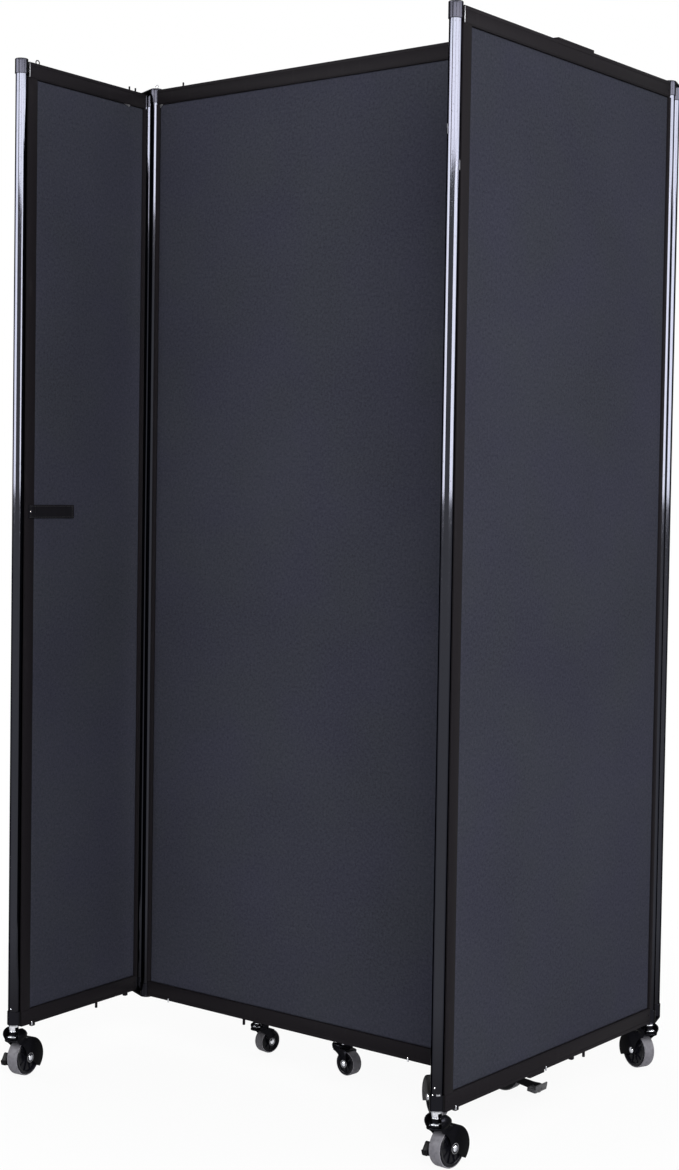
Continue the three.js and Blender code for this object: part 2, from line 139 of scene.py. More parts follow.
class Wire:
    """A socket whose arithmetic adds Math nodes to its tree."""

    def __init__(self, tree, socket):
        self.tree = tree
        self.socket = socket

    def maths(self, operation, *others):
        values = dict(enumerate((self, *others)))
        return self.tree.node("ShaderNodeMath", {"operation": operation}, values)

    def __add__(self, other):
        return self.maths("ADD", other)

    def __sub__(self, other):
        return self.maths("SUBTRACT", other)

    def __mul__(self, other):
        return self.maths("MULTIPLY", other)

    def __truediv__(self, other):
        return self.maths("DIVIDE", other)

    def __rsub__(self, other):
        return self.maths("MULTIPLY", -1.0).maths("ADD", other)

    __radd__ = __add__
    __rmul__ = __mul__

    def at_least(self, other):
        return self.maths("MAXIMUM", other)

    def sine(self):
        return self.maths("SINE")

    def size(self):
        return self.maths("ABSOLUTE")

    def above(self, other):
        return self.maths("GREATER_THAN", other)

    def sibling(self, output):
        """Another output of the node that this wire comes from."""
        return Wire(self.tree, self.socket.node.outputs[output])

    def spread(self, low, high):
        """The value from low to high as 0 to 1, held at both ends."""
        limits = {"Value": self, "From Min": low, "From Max": high}
        return self.tree.node("ShaderNodeMapRange", {"clamp": True}, limits)


class Tree:
    """A node tree, with one method that adds any node."""

    def __init__(self, node_tree):
        self.nodes = node_tree.nodes
        self.links = node_tree.links
        self.nodes.clear()

    def node(self, kind, settings=None, inputs=None, output=0):
        made = self.nodes.new(kind)
        for key, value in (settings or {}).items():
            setattr(made, key, value)
        for key, value in (inputs or {}).items():
            if isinstance(value, Wire):
                self.links.new(value.socket, made.inputs[key])
            else:
                made.inputs[key].default_value = value
        return Wire(self, made.outputs[output]) if len(made.outputs) else made

    def mix(self, factor, first, second):
        """One colour turning into another."""
        ends = {0: factor, 6: opaque(first), 7: opaque(second)}
        return self.node("ShaderNodeMix", {"data_type": "RGBA"}, ends, output=2)

    def cloud(self, where, scale, detail=3.0, stretch=(1, 1, 1)):
        """Noise from 0 to 1, stretched along the axes."""
        turned = self.node("ShaderNodeMapping", {}, {"Vector": where, "Scale": stretch})
        return self.node("ShaderNodeTexNoise", {}, {"Vector": turned, "Scale": scale, "Detail": detail})

    def bump(self, height, distance, strength=1.0):
        sizes = {"Height": height, "Distance": distance, "Strength": strength}
        return self.node("ShaderNodeBump", {}, sizes)


def opaque(colour):
    return colour if isinstance(colour, Wire) else (*colour, 1.0)


def finish(name, paint):
    """A material whose nodes come from paint(tree), which gives the Principled shader's sockets."""
    material = bpy.data.materials.new(name)
    material.use_nodes = True
    tree = Tree(material.node_tree)
    shader = tree.node("ShaderNodeBsdfPrincipled", {}, paint(tree))
    tree.node("ShaderNodeOutputMaterial", {}, {"Surface": shader})
    return material


def object_place(tree):
    return tree.node("ShaderNodeTexCoord", output=3)


def gloss_black(tree):
    """Drawn tube under black gloss: faint draw lines and a few dull patches. Painted shade darkens
    it towards the foot, and a painted dark edge deepens the black where it turns away from the eye."""
    where = object_place(tree)
    lines = tree.cloud(where, 900.0, 2.0, (1, 1, 0.01))
    patches = tree.cloud(where, 14.0, 4.0)
    dust = tree.cloud(where, 260.0, 2.0).spread(0.62, 0.74)
    height = tree.node("ShaderNodeSeparateXYZ", {}, {0: where}, output=2)
    # Painted shade: the colour darkens towards the foot, standing in for the darker floor that the tube
    # mirrors there.
    foot = 1 - height.spread(0.14, 0.30)
    # Painted dark edge: the colour goes darker where the surface turns away from the eye.
    rim = tree.node("ShaderNodeLayerWeight", {}, {"Blend": 0.5}, output=1).spread(0.20, 0.72)
    clean = tree.mix(dust * 0.5, (0.034, 0.035, 0.043), (0.024, 0.024, 0.027))
    foot_shaded = tree.mix(foot * 0.75, clean, (0.011, 0.0105, 0.012))
    return {
        "Base Color": tree.mix(rim, foot_shaded, (0.0075, 0.0075, 0.0095)),
        "Metallic": 1.0,
        "Roughness": 0.05 + patches * 0.05 + dust * 0.10,
        "Specular Tint": (0.05, 0.05, 0.06, 1.0),
        "Normal": tree.bump(lines, 0.000004, 0.4),
    }


def satin_black(tree):
    """Powder coat: a fine orange peel, with wear to a duller grey in places."""
    where = object_place(tree)
    peel = tree.cloud(where, 1400.0, 2.0)
    patches = tree.cloud(where, 9.0, 4.0)
    scuffs = tree.cloud(where, 60.0, 5.0, (1, 1, 0.25)).spread(0.60, 0.78)
    return {
        "Base Color": tree.mix(scuffs * 0.6, (0.0112, 0.0100, 0.0118), (0.019, 0.017, 0.019)),
        "Roughness": 0.42 + patches * 0.12 + scuffs * 0.10,
        "Specular IOR Level": 0.010,
        "Normal": tree.bump(peel, 0.00003, 0.6),
    }


def gloss_cap(tree):
    """Moulded caps and sleeves: gloss black with faint flow marks."""
    where = object_place(tree)
    flow = tree.cloud(where, 60.0, 4.0)
    specks = tree.cloud(where, 900.0, 2.0).spread(0.60, 0.78)
    return {
        "Base Color": tree.mix(specks * 0.3, (0.0130, 0.0130, 0.0165), (0.022, 0.022, 0.026)),
        "Metallic": 0.9,
        "Roughness": 0.10 + flow * 0.06 + specks * 0.05,
        "Specular Tint": (0.04, 0.04, 0.05, 1.0),
        "Normal": tree.bump(flow, 0.00002, 0.4),
    }


def charcoal_cloth(tree):
    """A plain weave of heathered yarns. The cloth's own map is in metres."""
    across = tree.node("ShaderNodeUVMap", {"uv_map": "Cloth"})
    parts = tree.node("ShaderNodeSeparateXYZ", {}, {0: across})
    turn = math.pi / WEAVE_PITCH
    warp = (parts * turn).sine()
    weft = (parts.sibling(1) * turn).sine()
    over = (warp * weft).above(0.0)
    threads = over * warp.size() + (1 - over) * weft.size()
    slubs = (tree.cloud(across, 1.0, 3.0, (90, 1100, 1)) * 0.5
             + tree.cloud(across, 1.0, 3.0, (1100, 90, 1)) * 0.5)
    heather = tree.cloud(across, 190.0, 5.0)
    flecks = tree.cloud(across, 430.0, 2.0)
    drift = tree.cloud(across, 3.2, 3.0)
    warm = tree.cloud(across, 5.0, 2.0).spread(0.35, 0.65)
    level = (
        0.38 + threads * 0.30 + slubs.spread(0.35, 0.65) * 0.30 + heather.spread(0.3, 0.7) * 0.36
        + flecks.spread(0.3, 0.7) * 0.22 + drift.spread(0.25, 0.75) * 0.14
    )
    dye = tree.mix(warm, (0.0340, 0.0350, 0.0500), (0.0348, 0.0368, 0.0482))
    shaded = tree.node(
        "ShaderNodeVectorMath", {"operation": "SCALE"}, {0: dye, "Scale": level * 0.98},
    )
    return {
        "Base Color": shaded,
        "Roughness": 0.80 + slubs * 0.15,
        "Specular IOR Level": 0.0,
        "Normal": tree.bump(threads * 0.7 + slubs * 0.6, 0.00035, 0.8),
    }


def fibre_board(tree):
    """The pressed board under the cloth."""
    where = object_place(tree)
    fibres = tree.cloud(where, 420.0, 5.0, (1, 1, 0.3))
    return {
        "Base Color": tree.mix(fibres, (0.10, 0.085, 0.07), (0.22, 0.19, 0.15)),
        "Roughness": 0.85,
        "Normal": tree.bump(fibres, 0.0002),
    }


def bright_chrome(tree):
    """Chrome plate with fine turning marks and a little haze, and a painted dark edge where it turns away
    from the eye.
    """
    where = object_place(tree)
    rings = tree.cloud(where, 1.0, 2.0, (60, 60, 4000))
    haze = tree.cloud(where, 300.0, 3.0)
    # Painted dark reflection: the colour goes dark where the surface turns away from the eye.
    rim = tree.node("ShaderNodeLayerWeight", {}, {"Blend": 0.5}, output=1).spread(0.24, 0.66)
    plate = tree.mix(haze.spread(0.35, 0.65), (0.80, 0.81, 0.85), (0.54, 0.55, 0.60))
    return {
        "Base Color": tree.mix(rim, plate, (0.030, 0.033, 0.055)),
        "Metallic": 1.0,
        "Roughness": 0.07 + haze * 0.08,
        "Normal": tree.bump(rings, 0.00001, 0.6),
    }


def dull_zinc(tree):
    """Zinc plate on small clips, with a mottled skin."""
    where = object_place(tree)
    spangle = tree.cloud(where, 500.0, 4.0)
    return {
        "Base Color": tree.mix(spangle.spread(0.35, 0.65), (0.30, 0.30, 0.32), (0.16, 0.16, 0.17)),
        "Metallic": 0.85,
        "Roughness": 0.30 + spangle * 0.2,
        "Normal": tree.bump(spangle, 0.00004, 0.8),
    }


def fork_enamel(tree):
    """Black enamel on pressed steel, half gloss, rubbed in patches."""
    where = object_place(tree)
    peel = tree.cloud(where, 500.0, 2.0)
    waves = tree.cloud(where, 70.0, 3.0)
    rubs = tree.cloud(where, 160.0, 5.0).spread(0.64, 0.80)
    return {
        "Base Color": tree.mix(rubs * 0.6, (0.0072, 0.0072, 0.0088), (0.022, 0.021, 0.022)),
        "Metallic": 0.7,
        "Roughness": 0.16 + peel * 0.10 + rubs * 0.2,
        "Specular IOR Level": 0.05,
        "Specular Tint": (0.10, 0.10, 0.13, 1.0),
        "Normal": tree.bump(peel * 0.4 + waves, 0.00025, 0.7),
    }


def tread_rubber(level):
    """Soft rubber at one level of grey, with a matt skin, scuffs and dust."""
    def paint(tree):
        where = object_place(tree)
        grain = tree.cloud(where, 1500.0, 3.0)
        scuffs = tree.cloud(where, 120.0, 5.0).spread(0.45, 0.75)
        dust = tree.cloud(where, 38.0, 4.0).spread(0.40, 0.75)
        rubber = tree.mix(scuffs, level, [0.68 * part for part in level])
        return {
            "Base Color": tree.mix(dust * 0.35, rubber, [1.30 * part for part in level]),
            "Roughness": 0.55 + scuffs * 0.20,
            "Specular IOR Level": 0.15,
            "Normal": tree.bump(grain * 0.5 + scuffs * 0.5, 0.00010, 0.8),
        }
    return paint


def moulded_plastic(level, gloss, shine):
    """Moulded plastic: a fine spark texture and faint flow marks."""
    def paint(tree):
        where = object_place(tree)
        spark = tree.cloud(where, 1600.0, 2.0)
        flow = tree.cloud(where, 55.0, 4.0)
        return {
            "Base Color": tree.mix(flow.spread(0.3, 0.7), level, [1.6 * part for part in level]),
            "Roughness": gloss + flow * 0.15,
            "Specular IOR Level": shine,
            "Normal": tree.bump(spark * 0.4 + flow, 0.00012, 0.8),
        }
    return paint


def woven_strap(tree):
    """Ribbed webbing. Its own map is in metres, with u along the strap."""
    across = tree.node("ShaderNodeUVMap", {"uv_map": "Cloth"})
    along = tree.node("ShaderNodeSeparateXYZ", {}, {0: across})
    width = along.sibling(1)
    ribs = (along * (math.pi / RIB_PITCH)).sine().size()
    cords = (width * (math.pi / CORD_PITCH)).sine().size()
    fuzz = tree.cloud(across, 700.0, 4.0)
    worn = tree.cloud(across, 60.0, 4.0).spread(0.45, 0.8)
    level = ribs * 0.4 + cords * 0.3 + fuzz * 0.5
    pale = level * 0.55 + worn * 0.2
    return {
        "Base Color": tree.mix(pale, (0.0030, 0.0028, 0.0040), (0.0115, 0.0108, 0.0140)),
        "Roughness": 0.82,
        "Specular IOR Level": 0.04,
        "Normal": tree.bump(ribs * 0.6 + cords * 0.5 + fuzz * 0.3, 0.0004, 0.9),
    }


def sewing_thread(tree):
    where = object_place(tree)
    twist = tree.cloud(where, 1800.0, 2.0)
    return {
        "Base Color": tree.mix(twist, (0.012, 0.012, 0.013), (0.045, 0.045, 0.048)),
        "Roughness": 0.6,
        "Normal": tree.bump(twist, 0.0001),
    }


GLOSS = finish("gloss_black_tube", gloss_black)
SATIN = finish("satin_black_frame", satin_black)
CAP = finish("gloss_black_cap", gloss_cap)
FABRIC = finish("charcoal_cloth", charcoal_cloth)
BOARD = finish("fibre_board", fibre_board)
CHROME = finish("bright_chrome", bright_chrome)
ENAMEL = finish("fork_enamel", fork_enamel)
TREAD_GREY = finish("tread_grey", tread_rubber((0.150, 0.146, 0.166)))
# A darker copy of the grey tread for the casters that stand in shade behind the panels: painted shade.
TREAD_SHADED = finish("tread_grey_shaded", tread_rubber((0.115, 0.112, 0.125)))
TREAD_EDGE = finish("tread_edge", tread_rubber((0.34, 0.33, 0.36)))
CORE = finish("wheel_core_black", moulded_plastic((0.0042, 0.0042, 0.0062), 0.12, 0.07))
PLASTIC = finish("pedal_plastic_dark", moulded_plastic((0.0048, 0.0048, 0.0055), 0.30, 0.03))
PEDAL_GREY = finish("pedal_plastic_grey", moulded_plastic((0.040, 0.040, 0.044), 0.35, 0.2))
ZINC = finish("dull_zinc_clip", dull_zinc)
WEBBING = finish("strap_webbing_black", woven_strap)
THREAD = finish("sewing_thread_black", sewing_thread)


SHORT_PEDAL = {
    "thickness": 0.003, "ring": 0.010, "arm": 0.011, "reach": 0.036, "paddle": 0.020,
    "outward": 0.014, "inward": 0.0, "lip": 0.004, "lip_thickness": 0.003, "droop": math.radians(18),
    "skirt": 0.004, "look": PLASTIC,
    "wedge": [(0.0, 0.001), (0.005, -0.008), (0.014, -0.011), (0.021, -0.005), (0.022, 0.012),
              (0.017, 0.015)],
}
LONG_PEDAL = {
    "thickness": 0.003, "ring": 0.010, "arm": 0.021, "reach": 0.098, "paddle": 0.021,
    "outward": 0.026, "inward": 0.022, "lip": 0.008, "lip_thickness": 0.003, "droop": math.radians(9),
    "skirt": 0.0045, "look": PEDAL_GREY, "wedge": None,
}


# Shapes


def softened(points, radius, steps=3, closed=True):
    """The outline with each corner turned into a small arc."""
    count = len(points)
    smooth = []
    for index, corner in enumerate(points):
        here = Vector(corner)
        if not closed and index in (0, count - 1):
            smooth.append(tuple(here))
            continue
        back = Vector(points[index - 1]) - here
        ahead = Vector(points[(index + 1) % count]) - here
        reach = min(radius, 0.45 * back.length, 0.45 * ahead.length)
        start = here + back.normalized() * reach
        end = here + ahead.normalized() * reach
        for step in range(steps + 1):
            t = step / steps
            smooth.append(tuple((1 - t) ** 2 * start + 2 * t * (1 - t) * here + t ** 2 * end))
    return smooth


def lathe(profile, segments=FINE, closed=False):
    """A piece turned round Z from (radius, height) points, lowest first. A closed profile is
    a ring; an open one starts and ends on the axis."""
    made = bmesh.new()
    rows = []
    for radius, height in profile:
        if radius < 1e-7:
            rows.append([made.verts.new((0, 0, height))])
            continue
        angles = [math.tau * step / segments for step in range(segments)]
        rows.append([made.verts.new((radius * math.cos(a), radius * math.sin(a), height)) for a in angles])
    pairs = list(zip(rows, rows[1:]))
    if closed:
        pairs.append((rows[-1], rows[0]))
    for low, high in pairs:
        for step in range(segments):
            after = (step + 1) % segments
            corners = [low[step % len(low)], low[after % len(low)],
                       high[after % len(high)], high[step % len(high)]]
            corners = list(dict.fromkeys(corners))
            if len(corners) > 2:
                made.faces.new(corners)
    bmesh.ops.recalc_face_normals(made, faces=made.faces)
    return made


def prism(outline, low, high, soften=0.0006):
    """An outline in the XY plane, pulled from low to high, with rounded rims."""
    made = bmesh.new()
    foot = [made.verts.new((x, y, low)) for x, y in outline]
    head = [made.verts.new((x, y, high)) for x, y in outline]
    made.faces.new(list(reversed(foot)))
    made.faces.new(head)
    for step in range(len(outline)):
        after = (step + 1) % len(outline)
        made.faces.new((foot[step], foot[after], head[after], head[step]))
    bmesh.ops.recalc_face_normals(made, faces=made.faces)
    if soften:
        rims = [edge for edge in made.edges if len({round(v.co.z, 6) for v in edge.verts}) == 1]
        bmesh.ops.bevel(made, geom=rims, offset=soften, segments=2, profile=0.5, affect="EDGES")
    return made


def turned(part, matrix):
    bmesh.ops.transform(part, matrix=matrix, verts=part.verts)
    return part


def block(low, high, soften=0.0008):
    """A box with all its edges rounded."""
    (x0, y0, z0), (x1, y1, z1) = low, high
    outline = softened([(x0, y0), (x1, y0), (x1, y1), (x0, y1)], soften * 1.6)
    return prism(outline, z0, z1, soften)


def side_plate(outline, low, high, soften=0.0006):
    """An outline in the XZ plane, pulled along Y from low to high."""
    return turned(prism(outline, -high, -low, soften), Matrix.Rotation(math.pi / 2, 4, "X"))


def end_plate(outline, low, high, soften=0.0006):
    """An outline in the YZ plane, pulled along X from low to high."""
    stand = Matrix(((0, 0, 1, 0), (1, 0, 0, 0), (0, 1, 0, 0), (0, 0, 0, 1)))
    return turned(prism(outline, low, high, soften), stand)


def cross_lathe(profile, segments=COARSE, closed=False):
    """A piece turned round Y."""
    return turned(lathe(profile, segments, closed), Matrix.Rotation(-math.pi / 2, 4, "X"))


def moved(x, y, z):
    return Matrix.Translation((x, y, z))


def arc(x, z, radius, start, end, steps=12):
    """Points round (x, z) from one angle to another, in degrees."""
    angles = [math.radians(start + (end - start) * step / steps) for step in range(steps + 1)]
    return [(x + radius * math.cos(a), z + radius * math.sin(a)) for a in angles]


def mesh_from(name, made):
    """A mesh with what was built, which is freed."""
    mesh = bpy.data.meshes.new(name)
    made.to_mesh(mesh)
    made.free()
    return mesh


def add_object(name, data):
    """An object in the scene for a mesh, a lamp or a lens."""
    made = bpy.data.objects.new(name, data)
    bpy.context.scene.collection.objects.link(made)
    return made


def evaluated_mesh(source):
    """The plain mesh that an object's modifiers make. The object is removed."""
    graph = bpy.context.evaluated_depsgraph_get()
    result = bpy.data.meshes.new_from_object(source.evaluated_get(graph), depsgraph=graph)
    source.modifiers.clear()
    bpy.data.objects.remove(source)
    return result


def join_rings(made, rings, closed=False):
    """Quads between each ring of corners and the next one, round to the first where it is closed."""
    pairs = list(zip(rings, rings[1:]))
    if closed:
        pairs.append((rings[-1], rings[0]))
    for low, high in pairs:
        for index in range(len(low)):
            after = (index + 1) % len(low)
            made.faces.new((low[index], high[index], high[after], low[after]))


class Shape:
    """A mesh in the making: closed parts, each with its finish."""

    def __init__(self):
        self.mesh = bmesh.new()
        self.finishes = []

    def add(self, part, material, place=None):
        if material not in self.finishes:
            self.finishes.append(material)
        data = mesh_from("part", part)
        if place is not None:
            data.transform(place)
        count = len(self.mesh.faces)
        self.mesh.from_mesh(data)
        self.mesh.faces.ensure_lookup_table()
        for face in self.mesh.faces[count:]:
            face.material_index = self.finishes.index(material)
        bpy.data.meshes.remove(data)
        return self


def set_smooth(mesh, crease=34):
    mesh.shade_smooth()
    mesh.set_sharp_from_angle(angle=math.radians(crease))


def register(made, body, nodes=()):
    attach(made, body)
    if nodes:
        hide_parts(*nodes)
    return made


def piece(name, shape, place, body, nodes=()):
    """A finished piece of the screen, standing for the nodes that it replaces."""
    mesh = mesh_from(name, shape.mesh)
    mesh.transform(place)
    for material in shape.finishes:
        mesh.materials.append(material)
    set_smooth(mesh)
    return register(add_object(name, mesh), body, nodes)


def panel_piece(name, shape, letter, nodes=()):
    """A piece that a panel carries, made in the panel's coordinates."""
    return piece(name, shape, PLACES[letter], f"panel_{letter}", nodes)


# Geometry nodes for what repeats


def new_nodes(name, sockets):
    """A geometry tree with named inputs, and the wires of those inputs."""
    group = bpy.data.node_groups.new(name, "GeometryNodeTree")
    for socket, kind in [("Geometry", "NodeSocketGeometry"), *sockets]:
        group.interface.new_socket(socket, in_out="INPUT", socket_type=kind)
    group.interface.new_socket("Geometry", in_out="OUTPUT", socket_type="NodeSocketGeometry")
    tree = Tree(group)
    entry = tree.nodes.new("NodeGroupInput")
    return group, tree, {socket.name: Wire(tree, socket) for socket in entry.outputs if socket.name}


def close_nodes(tree, copies, material):
    """Realises the copies and paints them: what every tree here ends in."""
    real = tree.node("GeometryNodeRealizeInstances", {}, {0: copies})
    painted = tree.node("GeometryNodeSetMaterial", {}, {"Geometry": real, "Material": material})
    tree.node("NodeGroupOutput", {}, {0: painted})


def heads_nodes():
    """Copies of a fastener's head on points, each turned to the way its point faces."""
    sockets = [
        ("Head", "NodeSocketObject"), ("Head Size", "NodeSocketFloat"), ("Finish", "NodeSocketMaterial"),
    ]
    group, tree, given = new_nodes("fastener_heads", sockets)
    head = tree.node("GeometryNodeObjectInfo", {}, {"Object": given["Head"]})
    shape = head.sibling("Geometry")
    facing = tree.node("GeometryNodeInputNamedAttribute", {"data_type": "FLOAT_VECTOR"}, {"Name": "facing"})
    turn = tree.node("FunctionNodeAlignRotationToVector", {"axis": "Z"}, {"Vector": facing})
    copies = tree.node("GeometryNodeInstanceOnPoints", {}, {
        "Points": given["Geometry"], "Instance": shape, "Rotation": turn, "Scale": given["Head Size"],
    })
    close_nodes(tree, copies, given["Finish"])
    return group


def stitch_nodes():
    """Stitches laid end to end along a line."""
    sockets = [
        ("Pitch", "NodeSocketFloat"), ("Thread", "NodeSocketFloat"), ("Finish", "NodeSocketMaterial"),
    ]
    group, tree, given = new_nodes("stitch_row", sockets)
    line = tree.node("GeometryNodeMeshToCurve", {}, {"Mesh": given["Geometry"]})
    spacing = {"Curve": line, "Length": given["Pitch"]}
    points = tree.node("GeometryNodeResampleCurve", {"mode": "LENGTH"}, spacing)
    round_thread = {"Segments": 8, "Rings": 6, "Radius": given["Thread"]}
    ball = tree.node("GeometryNodeMeshUVSphere", {}, round_thread)
    long_way = given["Pitch"] * 0.40 / given["Thread"]
    size = tree.node("ShaderNodeCombineXYZ", {}, {0: 1.0, 1: 1.0, 2: long_way})
    along = tree.node("GeometryNodeInputTangent")
    turn = tree.node("FunctionNodeAlignRotationToVector", {"axis": "Z"}, {"Vector": along})
    copies = tree.node("GeometryNodeInstanceOnPoints", {}, {
        "Points": points, "Instance": ball, "Rotation": turn, "Scale": size,
    })
    close_nodes(tree, copies, given["Finish"])
    return group


def rib_nodes():
    """Radial ribs between a wheel's hub and its rim."""
    sockets = [
        ("Count", "NodeSocketInt"), ("Hub", "NodeSocketFloat"), ("Rim", "NodeSocketFloat"),
        ("Thickness", "NodeSocketFloat"), ("Depth", "NodeSocketFloat"), ("Finish", "NodeSocketMaterial"),
    ]
    group, tree, given = new_nodes("wheel_ribs", sockets)
    middle = (given["Hub"] + given["Rim"]) * 0.5
    ring = tree.node("GeometryNodeMeshCircle", {}, {"Vertices": given["Count"], "Radius": middle})
    length = given["Rim"] - given["Hub"]
    size = tree.node("ShaderNodeCombineXYZ", {}, {0: given["Thickness"], 1: given["Depth"], 2: length})
    bar = tree.node("GeometryNodeMeshCube", {}, {"Size": size})
    outward = tree.node("GeometryNodeInputPosition")
    turn = tree.node("FunctionNodeAlignRotationToVector", {"axis": "Z"}, {"Vector": outward})
    spread = {"Points": ring, "Instance": bar, "Rotation": turn}
    copies = tree.node("GeometryNodeInstanceOnPoints", {}, spread)
    close_nodes(tree, copies, given["Finish"])
    return group


HEADS = heads_nodes()
STITCHES = stitch_nodes()
RIBS = rib_nodes()


def grown(name, mesh, group, **inputs):
    """The plain mesh that a geometry tree makes from a mesh."""
    source = add_object(name, mesh)
    modifier = source.modifiers.new(group.name, "NODES")
    modifier.node_group = group
    for socket in group.interface.items_tree:
        if socket.in_out == "INPUT" and socket.name in inputs:
            modifier[socket.identifier] = inputs[socket.name]
    return evaluated_mesh(source)


def head_object(name, part):
    return add_object(name, mesh_from(name, part))


def hexagon(radius):
    return [(radius * math.cos(a), radius * math.sin(a)) for a in [math.tau * step / 6 for step in range(6)]]


def dome_head():
    """A rivet's head, one unit across its radius, with its seat at the origin."""
    return lathe([
        (0, -0.05), (0.92, -0.05), (1.0, 0.08), (0.93, 0.30), (0.72, 0.48), (0.40, 0.60), (0, 0.64),
    ], 20)


def hex_head():
    """A bolt's head over its washer, one unit across the washer's radius."""
    head = lathe([(0, -0.05), (0.97, -0.05), (1.0, 0.0), (1.0, 0.14), (0.95, 0.18), (0, 0.18)], 24)
    data = mesh_from("nut", prism(softened(hexagon(0.78), 0.08, 2), 0.18, 0.80, 0.08))
    head.from_mesh(data)
    bpy.data.meshes.remove(data)
    return head


def stud():
    """A stud that stands out of its seat, one unit across its radius."""
    return lathe([(0, -0.3), (0.7, -0.3), (0.7, 0.3), (1.0, 0.4), (1.0, 4.6), (0.86, 5.0), (0, 5.0)], 16)


DOME = head_object("dome_head", dome_head())
HEX = head_object("hex_head", hex_head())
STUD = head_object("stud_head", stud())


def heads(name, spots, head, size, material, letter):
    """Fasteners of one kind on one panel. A spot is a point and the way it faces."""
    mesh = bpy.data.meshes.new(name)
    mesh.from_pydata([spot for spot, _ in spots], [], [])
    facing = mesh.attributes.new("facing", "FLOAT_VECTOR", "POINT")
    facing.data.foreach_set("vector", [part for _, way in spots for part in way])
    result = grown(name + "_points", mesh, HEADS, Head=head, **{"Head Size": size, "Finish": material})
    result.transform(PLACES[letter])
    result.name = name
    set_smooth(result)
    return register(add_object(name, result), f"panel_{letter}")


# Where the frame's posts and casters stand


def joint(name):
    return next(entry for entry in frame["joints"] if entry["name"] == name)


def middle(node):
    low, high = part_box(node)
    return (Vector(low) + Vector(high)) / 2


def hinge(name):
    return Vector(joint(name)["pos_m"]).to_2d()


def across(link, place):
    """The post at the other end of a link."""
    return 2 * middle(link).to_2d() - place


FRAME_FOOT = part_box("bottom_rail_B")[0][2]
FRAME_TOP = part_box("top_rail_B")[1][2]
FOOT_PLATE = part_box("bottom_link_AB")[0][2]
RAIL_START = SLEEVE_RADIUS + GAP

POSTS = {
    "A": (hinge("fold_A"), middle("post_cap_A").to_2d()),
    "B": (across("top_link_AB", hinge("fold_A")), across("top_link_BD", hinge("fold_D"))),
    "D": (hinge("fold_D"), across("top_link_DC", hinge("fold_C"))),
    "C": (hinge("fold_C"), middle("post_cap_C").to_2d()),
}
NAMES = {"A": ("hinge", "free"), "B": ("left", "right"), "D": ("near", "far"), "C": ("far", "near")}
STILES = {
    "A": (NARROW_STILE, WIDE_STILE),
    "B": (NARROW_STILE, NARROW_STILE),
    "D": (NARROW_STILE, NARROW_STILE),
    "C": (NARROW_STILE, WIDE_STILE),
}


def upright(start, end):
    """A frame on the floor under a point, with +X towards another."""
    way = end - start
    return moved(start.x, start.y, 0) @ Matrix.Rotation(math.atan2(way.y, way.x), 4, "Z")


PLACES = {letter: upright(*posts) for letter, posts in POSTS.items()}
SPANS = {letter: (posts[1] - posts[0]).length for letter, posts in POSTS.items()}


# Panels


def frame_post(letter, which):
    """A gloss tube with its satin stile, between the rails."""
    along = (0, SPANS[letter])[which]
    side = (1, -1)[which]
    stile = STILES[letter][which]
    inner = TUBE_RADIUS - TUBE_WALL
    rim = 0.0005
    foot = COLLAR_FOOT if stile == WIDE_STILE else FRAME_FOOT
    shape = Shape()
    shape.add(lathe([
        (inner, foot), (TUBE_RADIUS - rim, foot), (TUBE_RADIUS, foot + rim),
        (TUBE_RADIUS, FRAME_TOP - rim), (TUBE_RADIUS - rim, FRAME_TOP), (inner, FRAME_TOP),
    ], FINE, closed=True), GLOSS, moved(along, 0, 0))
    root = TUBE_RADIUS - TUBE_WALL / 2
    edge = TUBE_RADIUS + stile
    half = RAIL_DEPTH / 2
    lip = min(0.0030, 0.3 * stile)
    step = 0.0007
    outline = softened([
        (root, -half), (edge - lip, -half), (edge - lip, -half + step), (edge, -half + step),
        (edge, half - step), (edge - lip, half - step), (edge - lip, half), (root, half),
    ], 0.0004, 2)
    outline = [(along + side * x, y) for x, y in outline]
    low = FRAME_FOOT + RAIL_HEIGHT + GAP
    high = FRAME_TOP - RAIL_HEIGHT - GAP
    shape.add(prism(outline, low, high, 0.0003), SATIN)
    name = f"{NAMES[letter][which]}_post_{letter}"
    return panel_piece(f"{name}_tube", shape, letter, [name])


def rail(letter, at_top):
    """A rail: a channel section with a groove along each face and a lip against the cloth."""
    start = RAIL_START
    end = SPANS[letter] - RAIL_START
    half = RAIL_DEPTH / 2
    groove = 0.0006
    sign = -1 if at_top else 1
    base = FRAME_TOP if at_top else FRAME_FOOT
    groove_low = 0.0065
    groove_high = 0.0077
    lip = 0.0022
    step = 0.0008
    levels = [
        (half, 0), (half, groove_low), (half - groove, groove_low), (half - groove, groove_high),
        (half, groove_high), (half, RAIL_HEIGHT - lip), (half - step, RAIL_HEIGHT - lip),
        (half - step, RAIL_HEIGHT),
    ]
    outline = [(y, base + sign * z) for y, z in levels]
    outline += [(-y, z) for y, z in reversed(outline)]
    if at_top:
        outline.reverse()
    shape = Shape()
    shape.add(end_plate(softened(outline, 0.0006, 2), start, end, 0.0004), SATIN)
    name = f"{'top' if at_top else 'bottom'}_rail_{letter}"
    return panel_piece(f"{name}_bar", shape, letter, [name])


def board_span(letter):
    """Where a board starts and ends between its stiles."""
    first, second = STILES[letter]
    return TUBE_RADIUS + first + GAP, SPANS[letter] - TUBE_RADIUS - second - GAP


BOARD_FOOT = FRAME_FOOT + RAIL_HEIGHT + GAP
BOARD_TOP = FRAME_TOP - RAIL_HEIGHT - GAP


def board_core(letter):
    """The board under the cloth, thin enough to clear the cloth's rolled edges."""
    start, end = board_span(letter)
    rebate = 0.0006
    half = BOARD_DEPTH / 2 - CLOTH_TUCK - 2 * CLOTH
    low = (start + rebate, -half, BOARD_FOOT + rebate)
    high = (end - rebate, half, BOARD_TOP - rebate)
    shape = Shape()
    shape.add(block(low, high), BOARD)
    return panel_piece(f"board_core_{letter}", shape, letter, [f"fabric_board_{letter}"])


